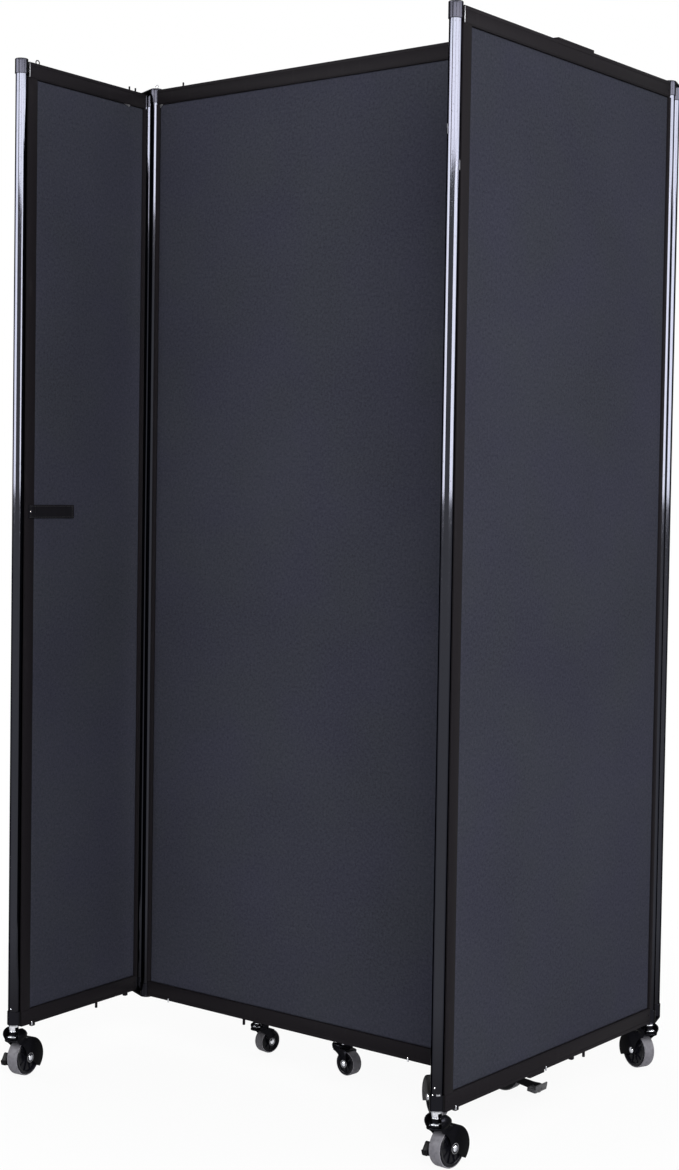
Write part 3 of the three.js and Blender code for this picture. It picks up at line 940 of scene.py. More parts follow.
def cloth_depth(x, z, seed):
    """How far the stretched cloth stands off its flat plane at a point of the panel."""
    wide = noise.noise(Vector((x * 2.1, z * 1.3, seed)))
    fine = noise.noise(Vector((x * 9.0, z * 3.5, seed + 7.0)))
    return 0.00022 * wide + 0.00008 * fine


def cloth_marks(length):
    """Places along a cloth's edge, closer together where it rolls in."""
    count = math.ceil(length / CLOTH_STEP)
    near = [CLOTH_ROLL * share for share in (0.0, 0.25, 0.6, 1.0)]
    span = length - 2 * CLOTH_ROLL
    inner = [CLOTH_ROLL + span * step / count for step in range(1, count)]
    return near + inner + [length - place for place in reversed(near)]


def cloth_face(letter, side):
    """The cloth on one face of a board, pulled flat and rolled in under the frame's lips."""
    start, end = board_span(letter)
    width = end - start
    height = BOARD_TOP - BOARD_FOOT
    xs = cloth_marks(width)
    zs = cloth_marks(height)
    made = bmesh.new()
    layer = made.loops.layers.uv.new("Cloth")
    flat = BOARD_DEPTH / 2 - CLOTH / 2
    grid = []
    for z in zs:
        line = []
        for x in xs:
            inset = min(x, width - x, z, height - z)
            roll = max(0.0, 1 - inset / CLOTH_ROLL)
            y = flat + cloth_depth(x, z, ord(letter) + side) * (1 - roll) - CLOTH_TUCK * roll ** 2
            line.append(made.verts.new((start + x, side * y, BOARD_FOOT + z)))
        grid.append(line)
    for row in range(len(zs) - 1):
        for column in range(len(xs) - 1):
            corners = [(row, column), (row, column + 1), (row + 1, column + 1), (row + 1, column)]
            if side > 0:
                corners.reverse()
            face = made.faces.new([grid[r][c] for r, c in corners])
            for loop, (r, c) in zip(face.loops, corners):
                loop[layer].uv = (side * xs[c] + 3 * side, zs[r])
    name = f"cloth_{letter}_{'camera_side' if side_faces_camera(letter, side) else 'back_side'}"
    source = add_object(name + "_flat", mesh_from(name, made))
    wall = source.modifiers.new("thickness", "SOLIDIFY")
    wall.thickness = CLOTH
    wall.offset = -1
    cloth = sheet_object(name, source, letter, FABRIC, 60)
    register(cloth, f"panel_{letter}")
    return cloth


def sheet_object(name, source, letter, material, crease):
    """A sheet on a panel, with the thickness that its source's modifiers give it."""
    thick = evaluated_mesh(source)
    thick.name = name
    thick.transform(PLACES[letter])
    thick.materials.clear()
    thick.materials.append(material)
    set_smooth(thick, crease)
    return add_object(name, thick)


def side_faces_camera(letter, side):
    normal = PLACES[letter].to_3x3() @ Vector((0, side, 0))
    return normal.dot(camera_place() - PLACES[letter].translation) > 0


# Links, caps and collars

# The panel that each link is fixed to.
LINK_OWNERS = {"AB": "B", "BD": "B", "DC": "D"}


def sleeve(at_top, x=0.0):
    """A sleeve round a post: plain walls with a rounded mouth."""
    inner = TUBE_RADIUS + GAP
    rim = 0.0007
    mouth_inner = inner + 0.0004
    mouth_outer = SLEEVE_RADIUS - 0.0005
    if at_top:
        low, high = FRAME_TOP - SLEEVE_HEIGHT, FRAME_TOP + GAP
        profile = [
            (inner, low + rim), (mouth_inner, low), (mouth_outer, low),
            (SLEEVE_RADIUS, low + rim), (SLEEVE_RADIUS, high), (inner, high),
        ]
    else:
        low, high = FOOT_PLATE + PLATE, FRAME_FOOT + SLEEVE_HEIGHT
        profile = [
            (inner, low), (SLEEVE_RADIUS, low), (SLEEVE_RADIUS, high - rim),
            (mouth_outer, high), (mouth_inner, high), (inner, high - rim),
        ]
    return turned(lathe(profile, FINE, closed=True), moved(x, 0, 0))


def link(letters, start, end, at_top):
    """Two sleeves on one plate, which holds two posts side by side, and a short web beside the
    first sleeve, clear of the rail that folds in over the second."""
    span = (end - start).length
    low = FRAME_TOP + GAP if at_top else FOOT_PLATE
    high = low + PLATE
    outline = [(span + x, y) for x, y in arc(0, 0, SLEEVE_RADIUS, -90, 90, 24)]
    outline += arc(0, 0, SLEEVE_RADIUS, 90, 270, 24)
    shape = Shape()
    shape.add(prism(outline, low, high, 0.0009), CAP)
    shape.add(sleeve(at_top), CAP)
    shape.add(sleeve(at_top, span), CAP)
    web_low = low - WEB_HEIGHT if at_top else high
    web_high = low if at_top else high + WEB_HEIGHT
    web_start = SLEEVE_RADIUS - 0.0008
    shape.add(block((web_start, -WEB_HALF, web_low), (WEB_REACH * span, WEB_HALF, web_high), 0.0004), CAP)
    name = f"{'top' if at_top else 'bottom'}_link_{letters}"
    body = f"panel_{LINK_OWNERS[letters]}"
    return piece(f"{name}_block", shape, upright(start, end), body, [name])


def post_cap(letter):
    """A cap on a free post, with a low dome."""
    shape = Shape()
    shape.add(sleeve(True), CAP)
    low = FRAME_TOP + GAP
    high = low + PLATE
    rim = 0.0012
    outer = SLEEVE_RADIUS
    profile = softened([(0, low), (outer, low), (outer, high - rim), (outer - rim, high), (0, high)],
                       0.0006, 3, closed=False)
    shape.add(lathe(profile), CAP)
    place = PLACES[letter] @ moved(SPANS[letter], 0, 0)
    name = f"post_cap_{letter}"
    return piece(f"{name}_lid", shape, place, f"panel_{letter}", [name])


def post_collar(letter):
    """The collar at the foot of a free post, and the chrome nut under it round the stem."""
    inner = TUBE_RADIUS + GAP
    outer = SLEEVE_RADIUS
    rim = 0.0008
    shape = Shape()
    shape.add(lathe([
        (inner, COLLAR_FOOT), (outer - rim, COLLAR_FOOT), (outer, COLLAR_FOOT + rim),
        (outer, COLLAR_TOP - rim), (outer - rim, COLLAR_TOP), (inner, COLLAR_TOP),
    ], FINE, closed=True), CAP)
    bore = LARGE["stem"] + GAP
    nut = 0.0105
    shape.add(lathe([
        (bore, FOOT_PLATE), (nut - 0.0008, FOOT_PLATE), (nut, FOOT_PLATE + 0.0012),
        (nut, COLLAR_FOOT - 0.0022), (nut - 0.0006, COLLAR_FOOT - 0.0016),
        (nut - 0.0006, COLLAR_FOOT + 0.0010), (bore, COLLAR_FOOT + 0.0010),
    ], FINE, closed=True), CHROME)
    place = PLACES[letter] @ moved(SPANS[letter], 0, 0)
    name = f"post_collar_{letter}"
    return piece(f"{name}_ring", shape, place, f"panel_{letter}", [name])


# Casters


def levels(caster):
    """Heights over the floor of the crown's underside, the cup, the ring, the waist and the shoulder."""
    crown = 2 * caster["wheel"] + caster["hood_gap"]
    cup = crown + caster["crown"] + GAP
    ring = cup + caster["ring"]
    waist = ring + caster["waist"]
    return crown, cup, ring, waist, waist + caster["neck"]


def fork_half(caster):
    return caster["width"] / 2 + caster["side_gap"] + caster["sheet"]


def caster_swivel(place, caster, insertion, place_matrix, body):
    """King pin, bearing cup, hexagon neck and stem."""
    crown, cup, ring, waist, shoulder = levels(caster)
    head_low = crown - GAP - caster["pin_head_height"]
    rim = 0.0008
    shape = Shape()
    band = ring + 0.3 * caster["waist"]
    shape.add(lathe([
        (0, head_low), (caster["pin_head"] - rim, head_low), (caster["pin_head"], head_low + rim),
        (caster["pin_head"], crown - GAP), (caster["pin"], crown - GAP), (caster["pin"], cup),
        (caster["cup"] - rim, cup), (caster["cup"], cup + rim), (caster["cup"], ring - rim),
        (caster["cup"] - rim, ring), (0.8 * caster["cup"], ring + 0.0002), (0, ring + 0.0002),
    ]), ENAMEL)
    shape.add(lathe(softened([
        (0, ring), (0.86 * caster["cup"], ring), (0.93 * caster["cup"], ring + 0.0006),
        (0.93 * caster["cup"], band), (0.72 * caster["cup"], waist), (0, waist),
    ], 0.0005, 3, closed=False)), CHROME)
    neck = caster["neck_radius"]
    seal = waist + 0.58 * caster["neck"]
    cone = waist + 0.74 * caster["neck"]
    shape.add(lathe(softened([
        (0, waist - rim), (0.80 * neck, waist - rim), (0.80 * neck, seal), (0, seal),
    ], 0.0006, 2, closed=False)), ENAMEL)
    shape.add(lathe(softened([
        (0, seal - rim), (0.62 * neck, seal), (0.92 * neck, cone), (0.88 * neck, cone + rim), (0, cone + rim),
    ], 0.0006, 3, closed=False)), CHROME)
    shape.add(prism(softened(hexagon(neck), 0.0008), cone, shoulder - 0.0004, 0.0010), CHROME)
    shape.add(lathe([
        (0, shoulder - rim), (caster["stem"] - rim, shoulder - rim), (caster["stem"], shoulder),
        (caster["stem"], shoulder + insertion - rim), (caster["stem"] - rim, shoulder + insertion),
        (0, shoulder + insertion),
    ], 48), CHROME)
    name = f"caster_swivel_{place}"
    return piece(f"{name}_stem", shape, place_matrix, body, [name])


def caster_fork(place, caster, pedal, place_matrix, body):
    """A pressed fork: a crown with a raised rim round the bearing, two cheeks and a hood."""
    crown = levels(caster)[0]
    crown_top = crown + caster["crown"]
    outer = fork_half(caster)
    inner = outer - caster["sheet"]
    front = -caster["crown_front"]
    back = caster["crown_back"]
    axle = (caster["trail"], caster["wheel"])
    at_axle = moved(axle[0], 0, axle[1])
    hood_in = caster["wheel"] + caster["hood_gap"]
    hood_out = hood_in + caster["sheet"]
    end = caster["hood_end"]
    hood = hood_curve(caster, hood_out, end, 100, 0.0026)
    shape = Shape()
    rear = softened([(back - 0.001, -outer), (back, -outer), (back, outer), (back - 0.001, outer)], 0.004, 4)
    nose = [(front * math.cos(math.radians(a)), outer * math.sin(math.radians(a)))
            for a in range(80, -81, -8)]
    shape.add(plate_with_hole([*rear, *nose], crown, crown_top, caster["pin"] + GAP), ENAMEL)
    boss = arc(*axle, caster["boss"], 200, 300, 12)
    lean = -0.25 * caster["crown_front"]
    corner = (lean, crown - 0.5 * caster["front_edge"])
    cheek = [(lean - 0.0012, crown_top), *hollow_edge(corner, boss[0], 0.16), *boss, *hood, (back, crown_top)]
    shape.add(side_plate(cheek, -outer, -inner, 0.0007), ENAMEL)
    shape.add(side_plate(cheek, inner, outer, 0.0007), ENAMEL)
    strip = hood + list(reversed(hood_curve(caster, hood_in, end, 100, 0.0012)))
    shape.add(side_plate(strip, -outer + 0.0007, outer - 0.0007, 0.0004), ENAMEL)
    shape.add(shroud(caster, outer, crown_top), ENAMEL)
    washer = outer + 0.0004
    ring = 0.95 * caster["boss"]
    washer_ring = cross_lathe([
        (ring - 0.0005, washer - 0.0009), (ring + 0.0004, washer - 0.0009), (ring + 0.0004, washer),
        (ring - 0.0005, washer + 0.0001),
    ], 48, closed=True)
    shape.add(washer_ring, ZINC, at_axle @ Matrix.Rotation(math.pi, 4, "X"))
    for side in (-1, 1):
        shape.add(cheek_boss(caster, side), ENAMEL, at_axle)
    room = GAP + pedal["thickness"] + GAP if pedal else 0
    reach = outer + room
    for side, seat in ((-1, outer), (1, reach)):
        look = PLASTIC if pedal and side > 0 else CHROME
        shape.add(axle_head(caster, seat, caster["head_height"], side), look, at_axle)
    bar = [(0, -outer), (caster["axle"], -outer), (caster["axle"], reach), (0, reach)]
    shape.add(cross_lathe(bar, 32), CHROME, at_axle)
    name = f"caster_fork_{place}"
    return piece(f"{name}_press", shape, place_matrix, body, [name])


def hollow_edge(start, end, depth):
    """Points from start to end on a curve that dips up and back from the straight line."""
    start = Vector(start)
    end = Vector(end)
    way = end - start
    bend = (start + end) / 2 + 2 * depth * Vector((-way.y, way.x))
    return [tuple((1 - t) ** 2 * start + 2 * t * (1 - t) * bend + t ** 2 * end)
            for t in [step / 8 for step in range(9)]]


def hood_curve(caster, radius, start, end, draw, steps=34):
    """The hood's round back, drawn in towards the wheel at its free end."""
    points = []
    for step in range(steps + 1):
        degrees = start + (end - start) * step / steps
        tuck = draw * max(0.0, 1 - (degrees - start) / 45) ** 1.5
        angle = math.radians(degrees)
        points.append((caster["trail"] + (radius - tuck) * math.cos(angle),
                       caster["wheel"] + (radius - tuck) * math.sin(angle)))
    return points


def shroud(caster, radius, foot):
    """The wall on the crown round the back and the sides of the bearing: a low bell, open in
    front, that follows the crown's square back, bulges out and closes in towards its rim."""
    wall = caster["shroud_wall"]
    height = caster["shroud"]
    limit = math.acos(-caster["shroud_front"] / radius)
    bulge = 0.17 * height
    bell = [(0.0, -0.0012 / height), (0.5 * bulge, 0.10), (0.85 * bulge, 0.24), (bulge, 0.42),
            (0.85 * bulge, 0.60), (0.35 * bulge, 0.78), (-0.4 * bulge, 0.92), (-bulge, 1.0)]
    steps = 48
    made = bmesh.new()
    rings = []
    for step in range(steps + 1):
        angle = -limit + 2 * limit * step / steps
        side = abs(math.sin(angle)) if abs(angle) < math.pi / 2 else 1.0
        tall = height * (0.62 + 0.38 * side ** 2)
        outside = [(radius + swell, foot + share * tall) for swell, share in bell]
        inside = [(r - wall, min(z, outside[-1][1] - 0.0010)) for r, z in reversed(outside)]
        inside[0] = (outside[-1][0] - wall * 0.6, outside[-1][1] - 0.0004)
        along, sideways = math.cos(angle), math.sin(angle)
        stretch = 0.0
        if along > 0:
            stretch = caster["crown_back"] - radius
            along, sideways = along ** 0.75, math.copysign(abs(sideways) ** 0.75, sideways)
        rings.append([made.verts.new(((r + stretch) * along, r * sideways, z)) for r, z in outside + inside])
    join_rings(made, rings)
    made.faces.new(rings[0])
    made.faces.new(list(reversed(rings[-1])))
    bmesh.ops.recalc_face_normals(made, faces=made.faces)
    return made


def plate_with_hole(outline, low, high, radius):
    """A plate with a round hole at the origin, as a ring of quads between hole and rim."""
    made = bmesh.new()
    count = len(outline)
    loops = []
    for height in (low, high):
        rim = [made.verts.new((x, y, height)) for x, y in outline]
        angles = [math.atan2(y, x) for x, y in outline]
        hole = [made.verts.new((radius * math.cos(a), radius * math.sin(a), height)) for a in angles]
        loops.append((rim, hole))
    (low_rim, low_hole), (high_rim, high_hole) = loops
    for step in range(count):
        after = (step + 1) % count
        made.faces.new((high_rim[step], high_rim[after], high_hole[after], high_hole[step]))
        made.faces.new((low_rim[after], low_rim[step], low_hole[step], low_hole[after]))
        made.faces.new((low_rim[step], low_rim[after], high_rim[after], high_rim[step]))
        made.faces.new((low_hole[after], low_hole[step], high_hole[step], high_hole[after]))
    bmesh.ops.recalc_face_normals(made, faces=made.faces)
    top = set(high_rim)
    rims = [edge for edge in made.edges if all(vert in top for vert in edge.verts)]
    bmesh.ops.bevel(made, geom=rims, offset=0.0009, segments=3, profile=0.5, affect="EDGES")
    return made


def cheek_boss(caster, side):
    """The raised pressing round the axle."""
    outer = fork_half(caster)
    depth = 0.0008
    boss = caster["boss"]
    seat = outer - 0.0003
    face = outer + depth * 0.3
    profile = [(0, seat), (boss, seat), (boss - depth, face), (boss * 0.55, face), (0, seat + 0.0002)]
    return turned(lathe(profile, 32), Matrix.Rotation(-side * math.pi / 2, 4, "X"))


def axle_head(caster, seat, height, side):
    """A domed head on one end of the axle."""
    radius = caster["axle_head"]
    dome = [(0, seat - 0.0003), (radius, seat - 0.0003), (radius, seat + 0.35 * height)]
    for degrees in (15, 30, 45, 60, 75):
        angle = math.radians(degrees)
        dome.append((radius * math.cos(angle), seat + 0.35 * height + 0.65 * height * math.sin(angle)))
    dome.append((0, seat + height))
    return turned(lathe(dome, 32), Matrix.Rotation(-side * math.pi / 2, 4, "X"))


def caster_wheel(place, caster, tread, place_matrix, body):
    """A wheel: a rounded tread on a ribbed core."""
    half = caster["width"] / 2
    rim = caster["wheel"]
    core = rim - caster["tread"]
    corner = caster["round"]
    web = half - caster["recess"]
    bore = caster["axle"] + GAP
    hub_half = half + caster["side_gap"] - GAP
    lip = 0.0012
    skin = rim - WHEEL_SKIN
    shape = Shape()
    bulge = [(rim - corner + corner * math.sin(a), -half + corner - corner * math.cos(a))
             for a in [math.radians(degrees) for degrees in (0, 18, 36, 54, 72, 90)]]
    bulge = [(r, y) for r, y in bulge if r > skin + 0.0002]
    tread_half = [(skin - 0.0012, -half + 3 * lip), (skin, bulge[0][1] - 0.0001)] + bulge
    tread_profile = tread_half + [(r, -y) for r, y in reversed(tread_half)]
    shape.add(cross_lathe(tread_profile, FINE, closed=True), tread)
    for side in (-1, 1):
        seat = side * abs(bulge[0][1])
        out = side * 0.0002
        edge = softened([
            (skin - 0.0003, seat - 4 * out), (skin - 0.0001, seat + 1.5 * out),
            (skin + 0.0005, seat + out), (skin + 0.0006, seat - 5 * out),
        ], 0.0002, 1)
        shape.add(cross_lathe(edge, FINE, closed=True), TREAD_EDGE)
    hub = caster["hub"]
    core_half = [
        (bore, -hub_half), (hub - 0.0008, -hub_half), (hub, -hub_half + 0.0008), (hub, -web),
        (core - 0.0030, -web), (core - 0.0018, -half + 0.0008), (core - 0.0008, -half + 0.0002),
        (rim - corner, -half), (skin, bulge[0][1] + 0.0002), (skin - 0.0004, bulge[0][1] + 2 * lip),
    ]
    core_profile = core_half + [(r, -y) for r, y in reversed(core_half)]
    shape.add(cross_lathe(core_profile, FINE, closed=True), CORE)
    for side in (-1, 1):
        ribs = grown("ribs", bpy.data.meshes.new("ribs"), RIBS, **{
            "Count": caster["ribs"], "Hub": hub - 0.0005, "Rim": core - 0.0022,
            "Thickness": 0.0016, "Depth": 2 * (caster["recess"] - 0.0012), "Finish": CORE,
        })
        made = bmesh.new()
        made.from_mesh(ribs)
        bpy.data.meshes.remove(ribs)
        turned(made, moved(0, side * web, 0) @ Matrix.Rotation(math.pi / 2, 4, "X"))
        shape.add(made, CORE)
    name = f"caster_wheel_{place}"
    where = place_matrix @ moved(caster["trail"], 0, rim)
    return piece(f"{name}_roller", shape, where, body, [name])


def brake_pedal(place, caster, pedal, place_matrix, body):
    """A brake lever: a ring round the axle, an arm and a ribbed paddle."""
    inside = fork_half(caster) + GAP
    outside = inside + pedal["thickness"]
    half = pedal["thickness"] / 2
    reach = pedal["reach"]
    eye = pedal["ring"]
    bore = caster["axle"] + GAP
    shape = Shape()
    ring = [(bore, inside), (eye - 0.0005, inside), (eye, inside + 0.0005),
            (eye, outside - 0.0005), (eye - 0.0005, outside), (bore, outside)]
    shape.add(cross_lathe(ring, 48, closed=True), PLASTIC)
    waist = 0.36 * pedal["arm"]
    end = 0.5 * pedal["arm"]
    lever = [
        (-0.7 * eye, -0.62 * eye), (-0.45 * reach, -waist), (-0.80 * reach, -end * 0.8),
        (-reach + 0.004, -end), (-reach, -end * 0.5), (-reach, end * 0.5), (-reach + 0.004, end),
        (-0.80 * reach, end * 0.8), (-0.45 * reach, waist), (-0.7 * eye, 0.62 * eye),
    ]
    shape.add(side_plate(softened(lever, 0.004, 3), inside, outside, 0.0006), PLASTIC)
    near = inside - pedal["inward"]
    far = inside + pedal["outward"]
    back = pedal["paddle"] - reach
    paddle = softened([(-reach, near), (back, near), (back, far), (-reach, far)], 0.004, 4)
    look = pedal["look"]
    shape.add(prism(paddle, -half - pedal["skirt"], half, 0.0012), look)
    if pedal["wedge"]:
        wedge = softened([(x - reach, z) for x, z in pedal["wedge"]], 0.003, 3)
        shape.add(side_plate(wedge, near + 0.001, far - 0.001, 0.0010), look)
    lip = pedal["lip_thickness"]
    lip_high = (lip - reach, far - 0.0014, half + pedal["lip"])
    shape.add(block((-reach, near + 0.0014, -half), lip_high, 0.0010), look)
    for step in range(4):
        x = lip - reach + (pedal["paddle"] - lip) * (step + 0.6) / 4.4
        rib_high = (x + 0.0014, far - 0.002, half + 0.0009)
        shape.add(block((x, near + 0.002, half - 0.0004), rib_high, 0.0004), look)
    droop = Matrix.Rotation(-pedal["droop"], 4, "Y")
    where = place_matrix @ moved(caster["trail"], 0, caster["wheel"]) @ droop
    name = f"brake_pedal_{place}"
    return piece(f"{name}_lever", shape, where, body, [name])


# Each caster: its sizes, how far its stem goes in, its pedal, the panel over it and its tread.
# The casters that stand back in shade behind the panels get the darker tread: painted shade.
CASTERS = {
    "A": (TALL, POST_INSERTION, SHORT_PEDAL, "A", TREAD_GREY),
    "B": (LARGE, POST_INSERTION, None, "B", TREAD_GREY),
    "B1": (SMALL, SOCKET_INSERTION, None, "B", TREAD_SHADED),
    "B2": (SMALL, SOCKET_INSERTION, None, "B", TREAD_SHADED),
    "D": (LARGE, ARM["height"], LONG_PEDAL, "D", TREAD_SHADED),
    "C_far": (LARGE, POST_INSERTION, None, "C", TREAD_GREY),
    "C_near": (TALL, POST_INSERTION, SHORT_PEDAL, "C", TREAD_GREY),
}


def build_casters():
    for place, (caster, insertion, pedal, letter, tread) in CASTERS.items():
        stem = Vector(joint(f"swivel_{place}")["pos_m"]).to_2d()
        wheel = Vector(joint(f"roll_{place}")["pos_m"]).to_2d()
        where = upright(stem, wheel)
        caster_swivel(place, caster, insertion, where, f"panel_{letter}")
        caster_fork(place, caster, pedal, where, f"fork_{place}")
        caster_wheel(place, caster, tread, where, f"wheel_{place}")
        if pedal:
            brake_pedal(place, caster, pedal, where, f"pedal_{place}")


def outrigger(name, letter, place, caster, socket_low):
    """An arm behind a foot rail: a flange, a bar and the socket of a stem."""
    stem = Vector(joint(f"swivel_{place}")["pos_m"])
    local = PLACES[letter].inverted() @ stem
    along, reach = local.x, local.y
    back = RAIL_DEPTH / 2 + GAP
    top = FRAME_FOOT + ARM["height"]
    bore = caster["stem"] + GAP
    radius = caster["stem"] + GAP + ARM["eye"]
    half = ARM["flange"] / 2
    shape = Shape()
    shape.add(block((along - half, back, FRAME_FOOT),
                    (along + half, back + ARM["flange_thickness"], FRAME_FOOT + RAIL_HEIGHT), 0.0010), SATIN)
    side = ARM["width"] / 2
    bar_end = (along + side, reach - 0.6 * radius, top)
    shape.add(block((along - side, back + 0.001, FRAME_FOOT), bar_end, 0.0014), SATIN)
    rim = 0.0010
    shape.add(lathe([
        (bore, socket_low), (radius - rim, socket_low), (radius, socket_low + rim), (radius, top - rim),
        (radius - rim, top), (bore, top),
    ], FINE, closed=True), SATIN, moved(along, reach, 0))
    panel_piece(f"{name}_arm", shape, letter, [name])
    seat = back + ARM["flange_thickness"]
    spots = [((along + step * 0.37 * ARM["flange"], seat, FRAME_FOOT + share * RAIL_HEIGHT), (0, 1, 0))
             for step in (-1, 1) for share in (0.28, 0.72)]
    heads(f"{name}_bolts", spots, HEX, 0.0034, CHROME, letter)


# The strap


def strap():
    """Webbing over the stile and down to the cloth, held by a rivet near one end."""
    span = SPANS["A"]
    stile_face = RAIL_DEPTH / 2 + GAP
    board_face = BOARD_DEPTH / 2 + GAP
    drop = stile_face - board_face
    rivet_x = span - TUBE_RADIUS - RIVET_FROM_EDGE
    start = rivet_x + STRAP_PAST_RIVET
    bend = span - TUBE_RADIUS - WIDE_STILE - GAP
    end = start - STRAP_LENGTH
    line = softened([(start, stile_face), (bend, stile_face), (bend - drop, board_face), (end, board_face)],
                    0.004, 6, closed=False)
    path = []
    for (x0, y0), (x1, y1) in zip(line, line[1:]):
        steps = max(1, round(math.hypot(x1 - x0, y1 - y0) / 0.003))
        path += [(x0 + (x1 - x0) * s / steps, y0 + (y1 - y0) * s / steps) for s in range(steps)]
    path.append(line[-1])
    middle_z = FRAME_FOOT + STRAP_HEIGHT
    across_steps = 12
    made = bmesh.new()
    layer = made.loops.layers.uv.new("Cloth")
    rows = []
    run = 0.0
    for index, (x, y) in enumerate(path):
        if index:
            run += math.hypot(x - path[index - 1][0], y - path[index - 1][1])
        row = []
        for step in range(across_steps + 1):
            share = step / across_steps
            edge = min(share, 1 - share) * 2
            lift = 0.00025 * (1 - edge) ** 3
            z = middle_z - STRAP_WIDTH / 2 + STRAP_WIDTH * share
            row.append((made.verts.new((x, y + STRAP_THICKNESS - lift, z)), (run, STRAP_WIDTH * share)))
        rows.append(row)
    for low, high in zip(rows, rows[1:]):
        for step in range(across_steps):
            corners = [low[step], high[step], high[step + 1], low[step + 1]]
            face = made.faces.new([vert for vert, _ in corners])
            for loop, (_, place) in zip(face.loops, corners):
                loop[layer].uv = place
    bmesh.ops.recalc_face_normals(made, faces=made.faces)
    made.faces.ensure_lookup_table()
    if made.faces[0].normal.y < 0:
        bmesh.ops.reverse_faces(made, faces=made.faces)
    source = add_object("strap_face", mesh_from("strap_face", made))
    wall = source.modifiers.new("thickness", "SOLIDIFY")
    wall.thickness = STRAP_THICKNESS - 0.0002
    wall.offset = -1
    wall.use_even_offset = True
    soft = source.modifiers.new("edges", "BEVEL")
    soft.width = 0.0004
    soft.segments = 2
    soft.limit_method = "ANGLE"
    band = sheet_object("strap_webbing", source, "A", WEBBING, 50)
    register(band, "panel_A", ["strap"])
    strap_stitches(path, middle_z)
    strap_rivet(rivet_x, stile_face, middle_z)


def strap_rivet(rivet_x, stile_face, middle_z):
    """The rivet that holds the strap to the stile."""
    face = stile_face + STRAP_THICKNESS + GAP
    root = stile_face - GAP
    shape = Shape()
    shape.add(cross_lathe([(0, root), (0.0012, root), (0.0012, face), (0, face)], 16), CHROME)
    dome = [(0, face), (0.0025, face), (0.0025, face + 0.0005), (0.0021, face + 0.0011),
            (0.0012, face + 0.0015), (0, face + 0.0016)]
    shape.add(cross_lathe(dome, 32), CHROME)
    place = PLACES["A"] @ moved(rivet_x, 0, middle_z)
    piece("strap_rivet_head", shape, place, "panel_A", ["strap_rivet"])


def strap_stitches(path, middle_z):
    """Two rows along the strap's edges and a box at each end."""
    face = STRAP_THICKNESS - 0.0001
    inset = 0.0026
    top = middle_z + STRAP_WIDTH / 2 - inset
    low = middle_z - STRAP_WIDTH / 2 + inset
    verts = []
    edges = []

    def run(points):
        first = len(verts)
        verts.extend(points)
        edges.extend((first + step, first + step + 1) for step in range(len(points) - 1))

    kept = path[1:-1]
    for z in (low, top):
        run([(x, y + face, z) for x, y in kept])
    for index in (1, len(kept) // 5, len(kept) - 2):
        x, y = kept[index]
        run([(x, y + face, low), (x, y + face, top)])
    mesh = bpy.data.meshes.new("strap_lines")
    mesh.from_pydata(verts, edges, [])
    result = grown("strap_lines", mesh, STITCHES, Pitch=0.0030, Thread=0.00032, Finish=THREAD)
    result.transform(PLACES["A"])
    set_smooth(result, 60)
    register(add_object("strap_stitches", result), "panel_A")


# Fasteners on the frame

# Their places along each panel, from its first post.
FOOT_BOLTS = {
    "A": [0.3735], "B": [0.080, SPANS["B"] - 0.080], "D": [0.080, SPANS["D"] - 0.080], "C": [0.7887, 0.4580],
}
FOOT_PEGS = {"A": [0.145], "B": [0.300], "D": [0.300], "C": [0.288]}
TOP_PEGS = {"A": [0.0398, 0.0612], "B": [0.0832]}
FOOT_LUGS = {
    "A": [(0.3600, 0.3715), (0.043, 0.053)],
    "C": [(0.7750, 0.7868), (0.4610, 0.5169), (0.342, 0.352)],
}
STRIP_ENDS = (0.3435, 0.4842)
STRIP_STUDS = (0.3520, 0.4757)
TOP_LOOP = 0.369
# Clips on panel C's free post: the angles they hug, in degrees, and their height over the frame's foot.
POST_CLIPS = [(-46, -22, 1.759), (88, 110, 1.696), (-50, -28, 1.639)]
# Rivets at the foot of the free posts: their angle in degrees and their height over the floor.
POST_RIVETS = {"C": [(11.6, 0.1540), (-8.0, 0.1410)], "A": [(11.3, 0.1460)]}
RAIL_HALF = RAIL_DEPTH / 2


def post_clip(first, last, half=0.0090):
    """A spring clip that hugs a post from one angle to another: a thin bent strip."""
    inner = TUBE_RADIUS + 0.0001
    outer = inner + 0.0009
    angles = [math.radians(first + (last - first) * step / 8) for step in range(9)]
    outline = [(outer * math.cos(a), outer * math.sin(a)) for a in angles]
    outline += [(inner * math.cos(a), inner * math.sin(a)) for a in reversed(angles)]
    return prism(outline, -half, half, 0.0003)


def wire_loop(name, material, letter, foot):
    """An eye of bent wire that stands on a top edge."""
    wire = 0.0011
    across_half = 0.0055
    rise = 0.0046
    count = 40
    round_wire = [math.tau * index / 10 for index in range(10)]
    sideways = Vector((0, 1, 0))
    made = bmesh.new()
    rings = []
    for step in range(count):
        turn = math.tau * step / count
        centre = Vector((across_half * math.cos(turn), 0, rise * math.sin(turn)))
        out = Vector((math.cos(turn) / across_half, 0, math.sin(turn) / rise)).normalized()
        rings.append([made.verts.new(centre + wire * (math.cos(a) * out + math.sin(a) * sideways))
                      for a in round_wire])
    join_rings(made, rings, closed=True)
    bmesh.ops.recalc_face_normals(made, faces=made.faces)
    shape = Shape()
    shape.add(made, material, moved(foot[0], foot[1], foot[2] + rise + 0.0004))
    return panel_piece(name, shape, letter)


def foot_bolts():
    """The heads that show on the face of each foot rail."""
    for letter, places in FOOT_BOLTS.items():
        side = -1 if letter == "B" else 1
        near, far = sorted((side * (RAIL_HALF - 0.0015), side * (RAIL_HALF + 0.0012)))
        shape = Shape()
        for x in places:
            low = (x - 0.0016, near, FRAME_FOOT - 0.0035)
            high = (x + 0.0016, far, FRAME_FOOT + 0.0055)
            shape.add(block(low, high, 0.0006), CHROME)
        panel_piece(f"foot_bolts_{letter}", shape, letter)


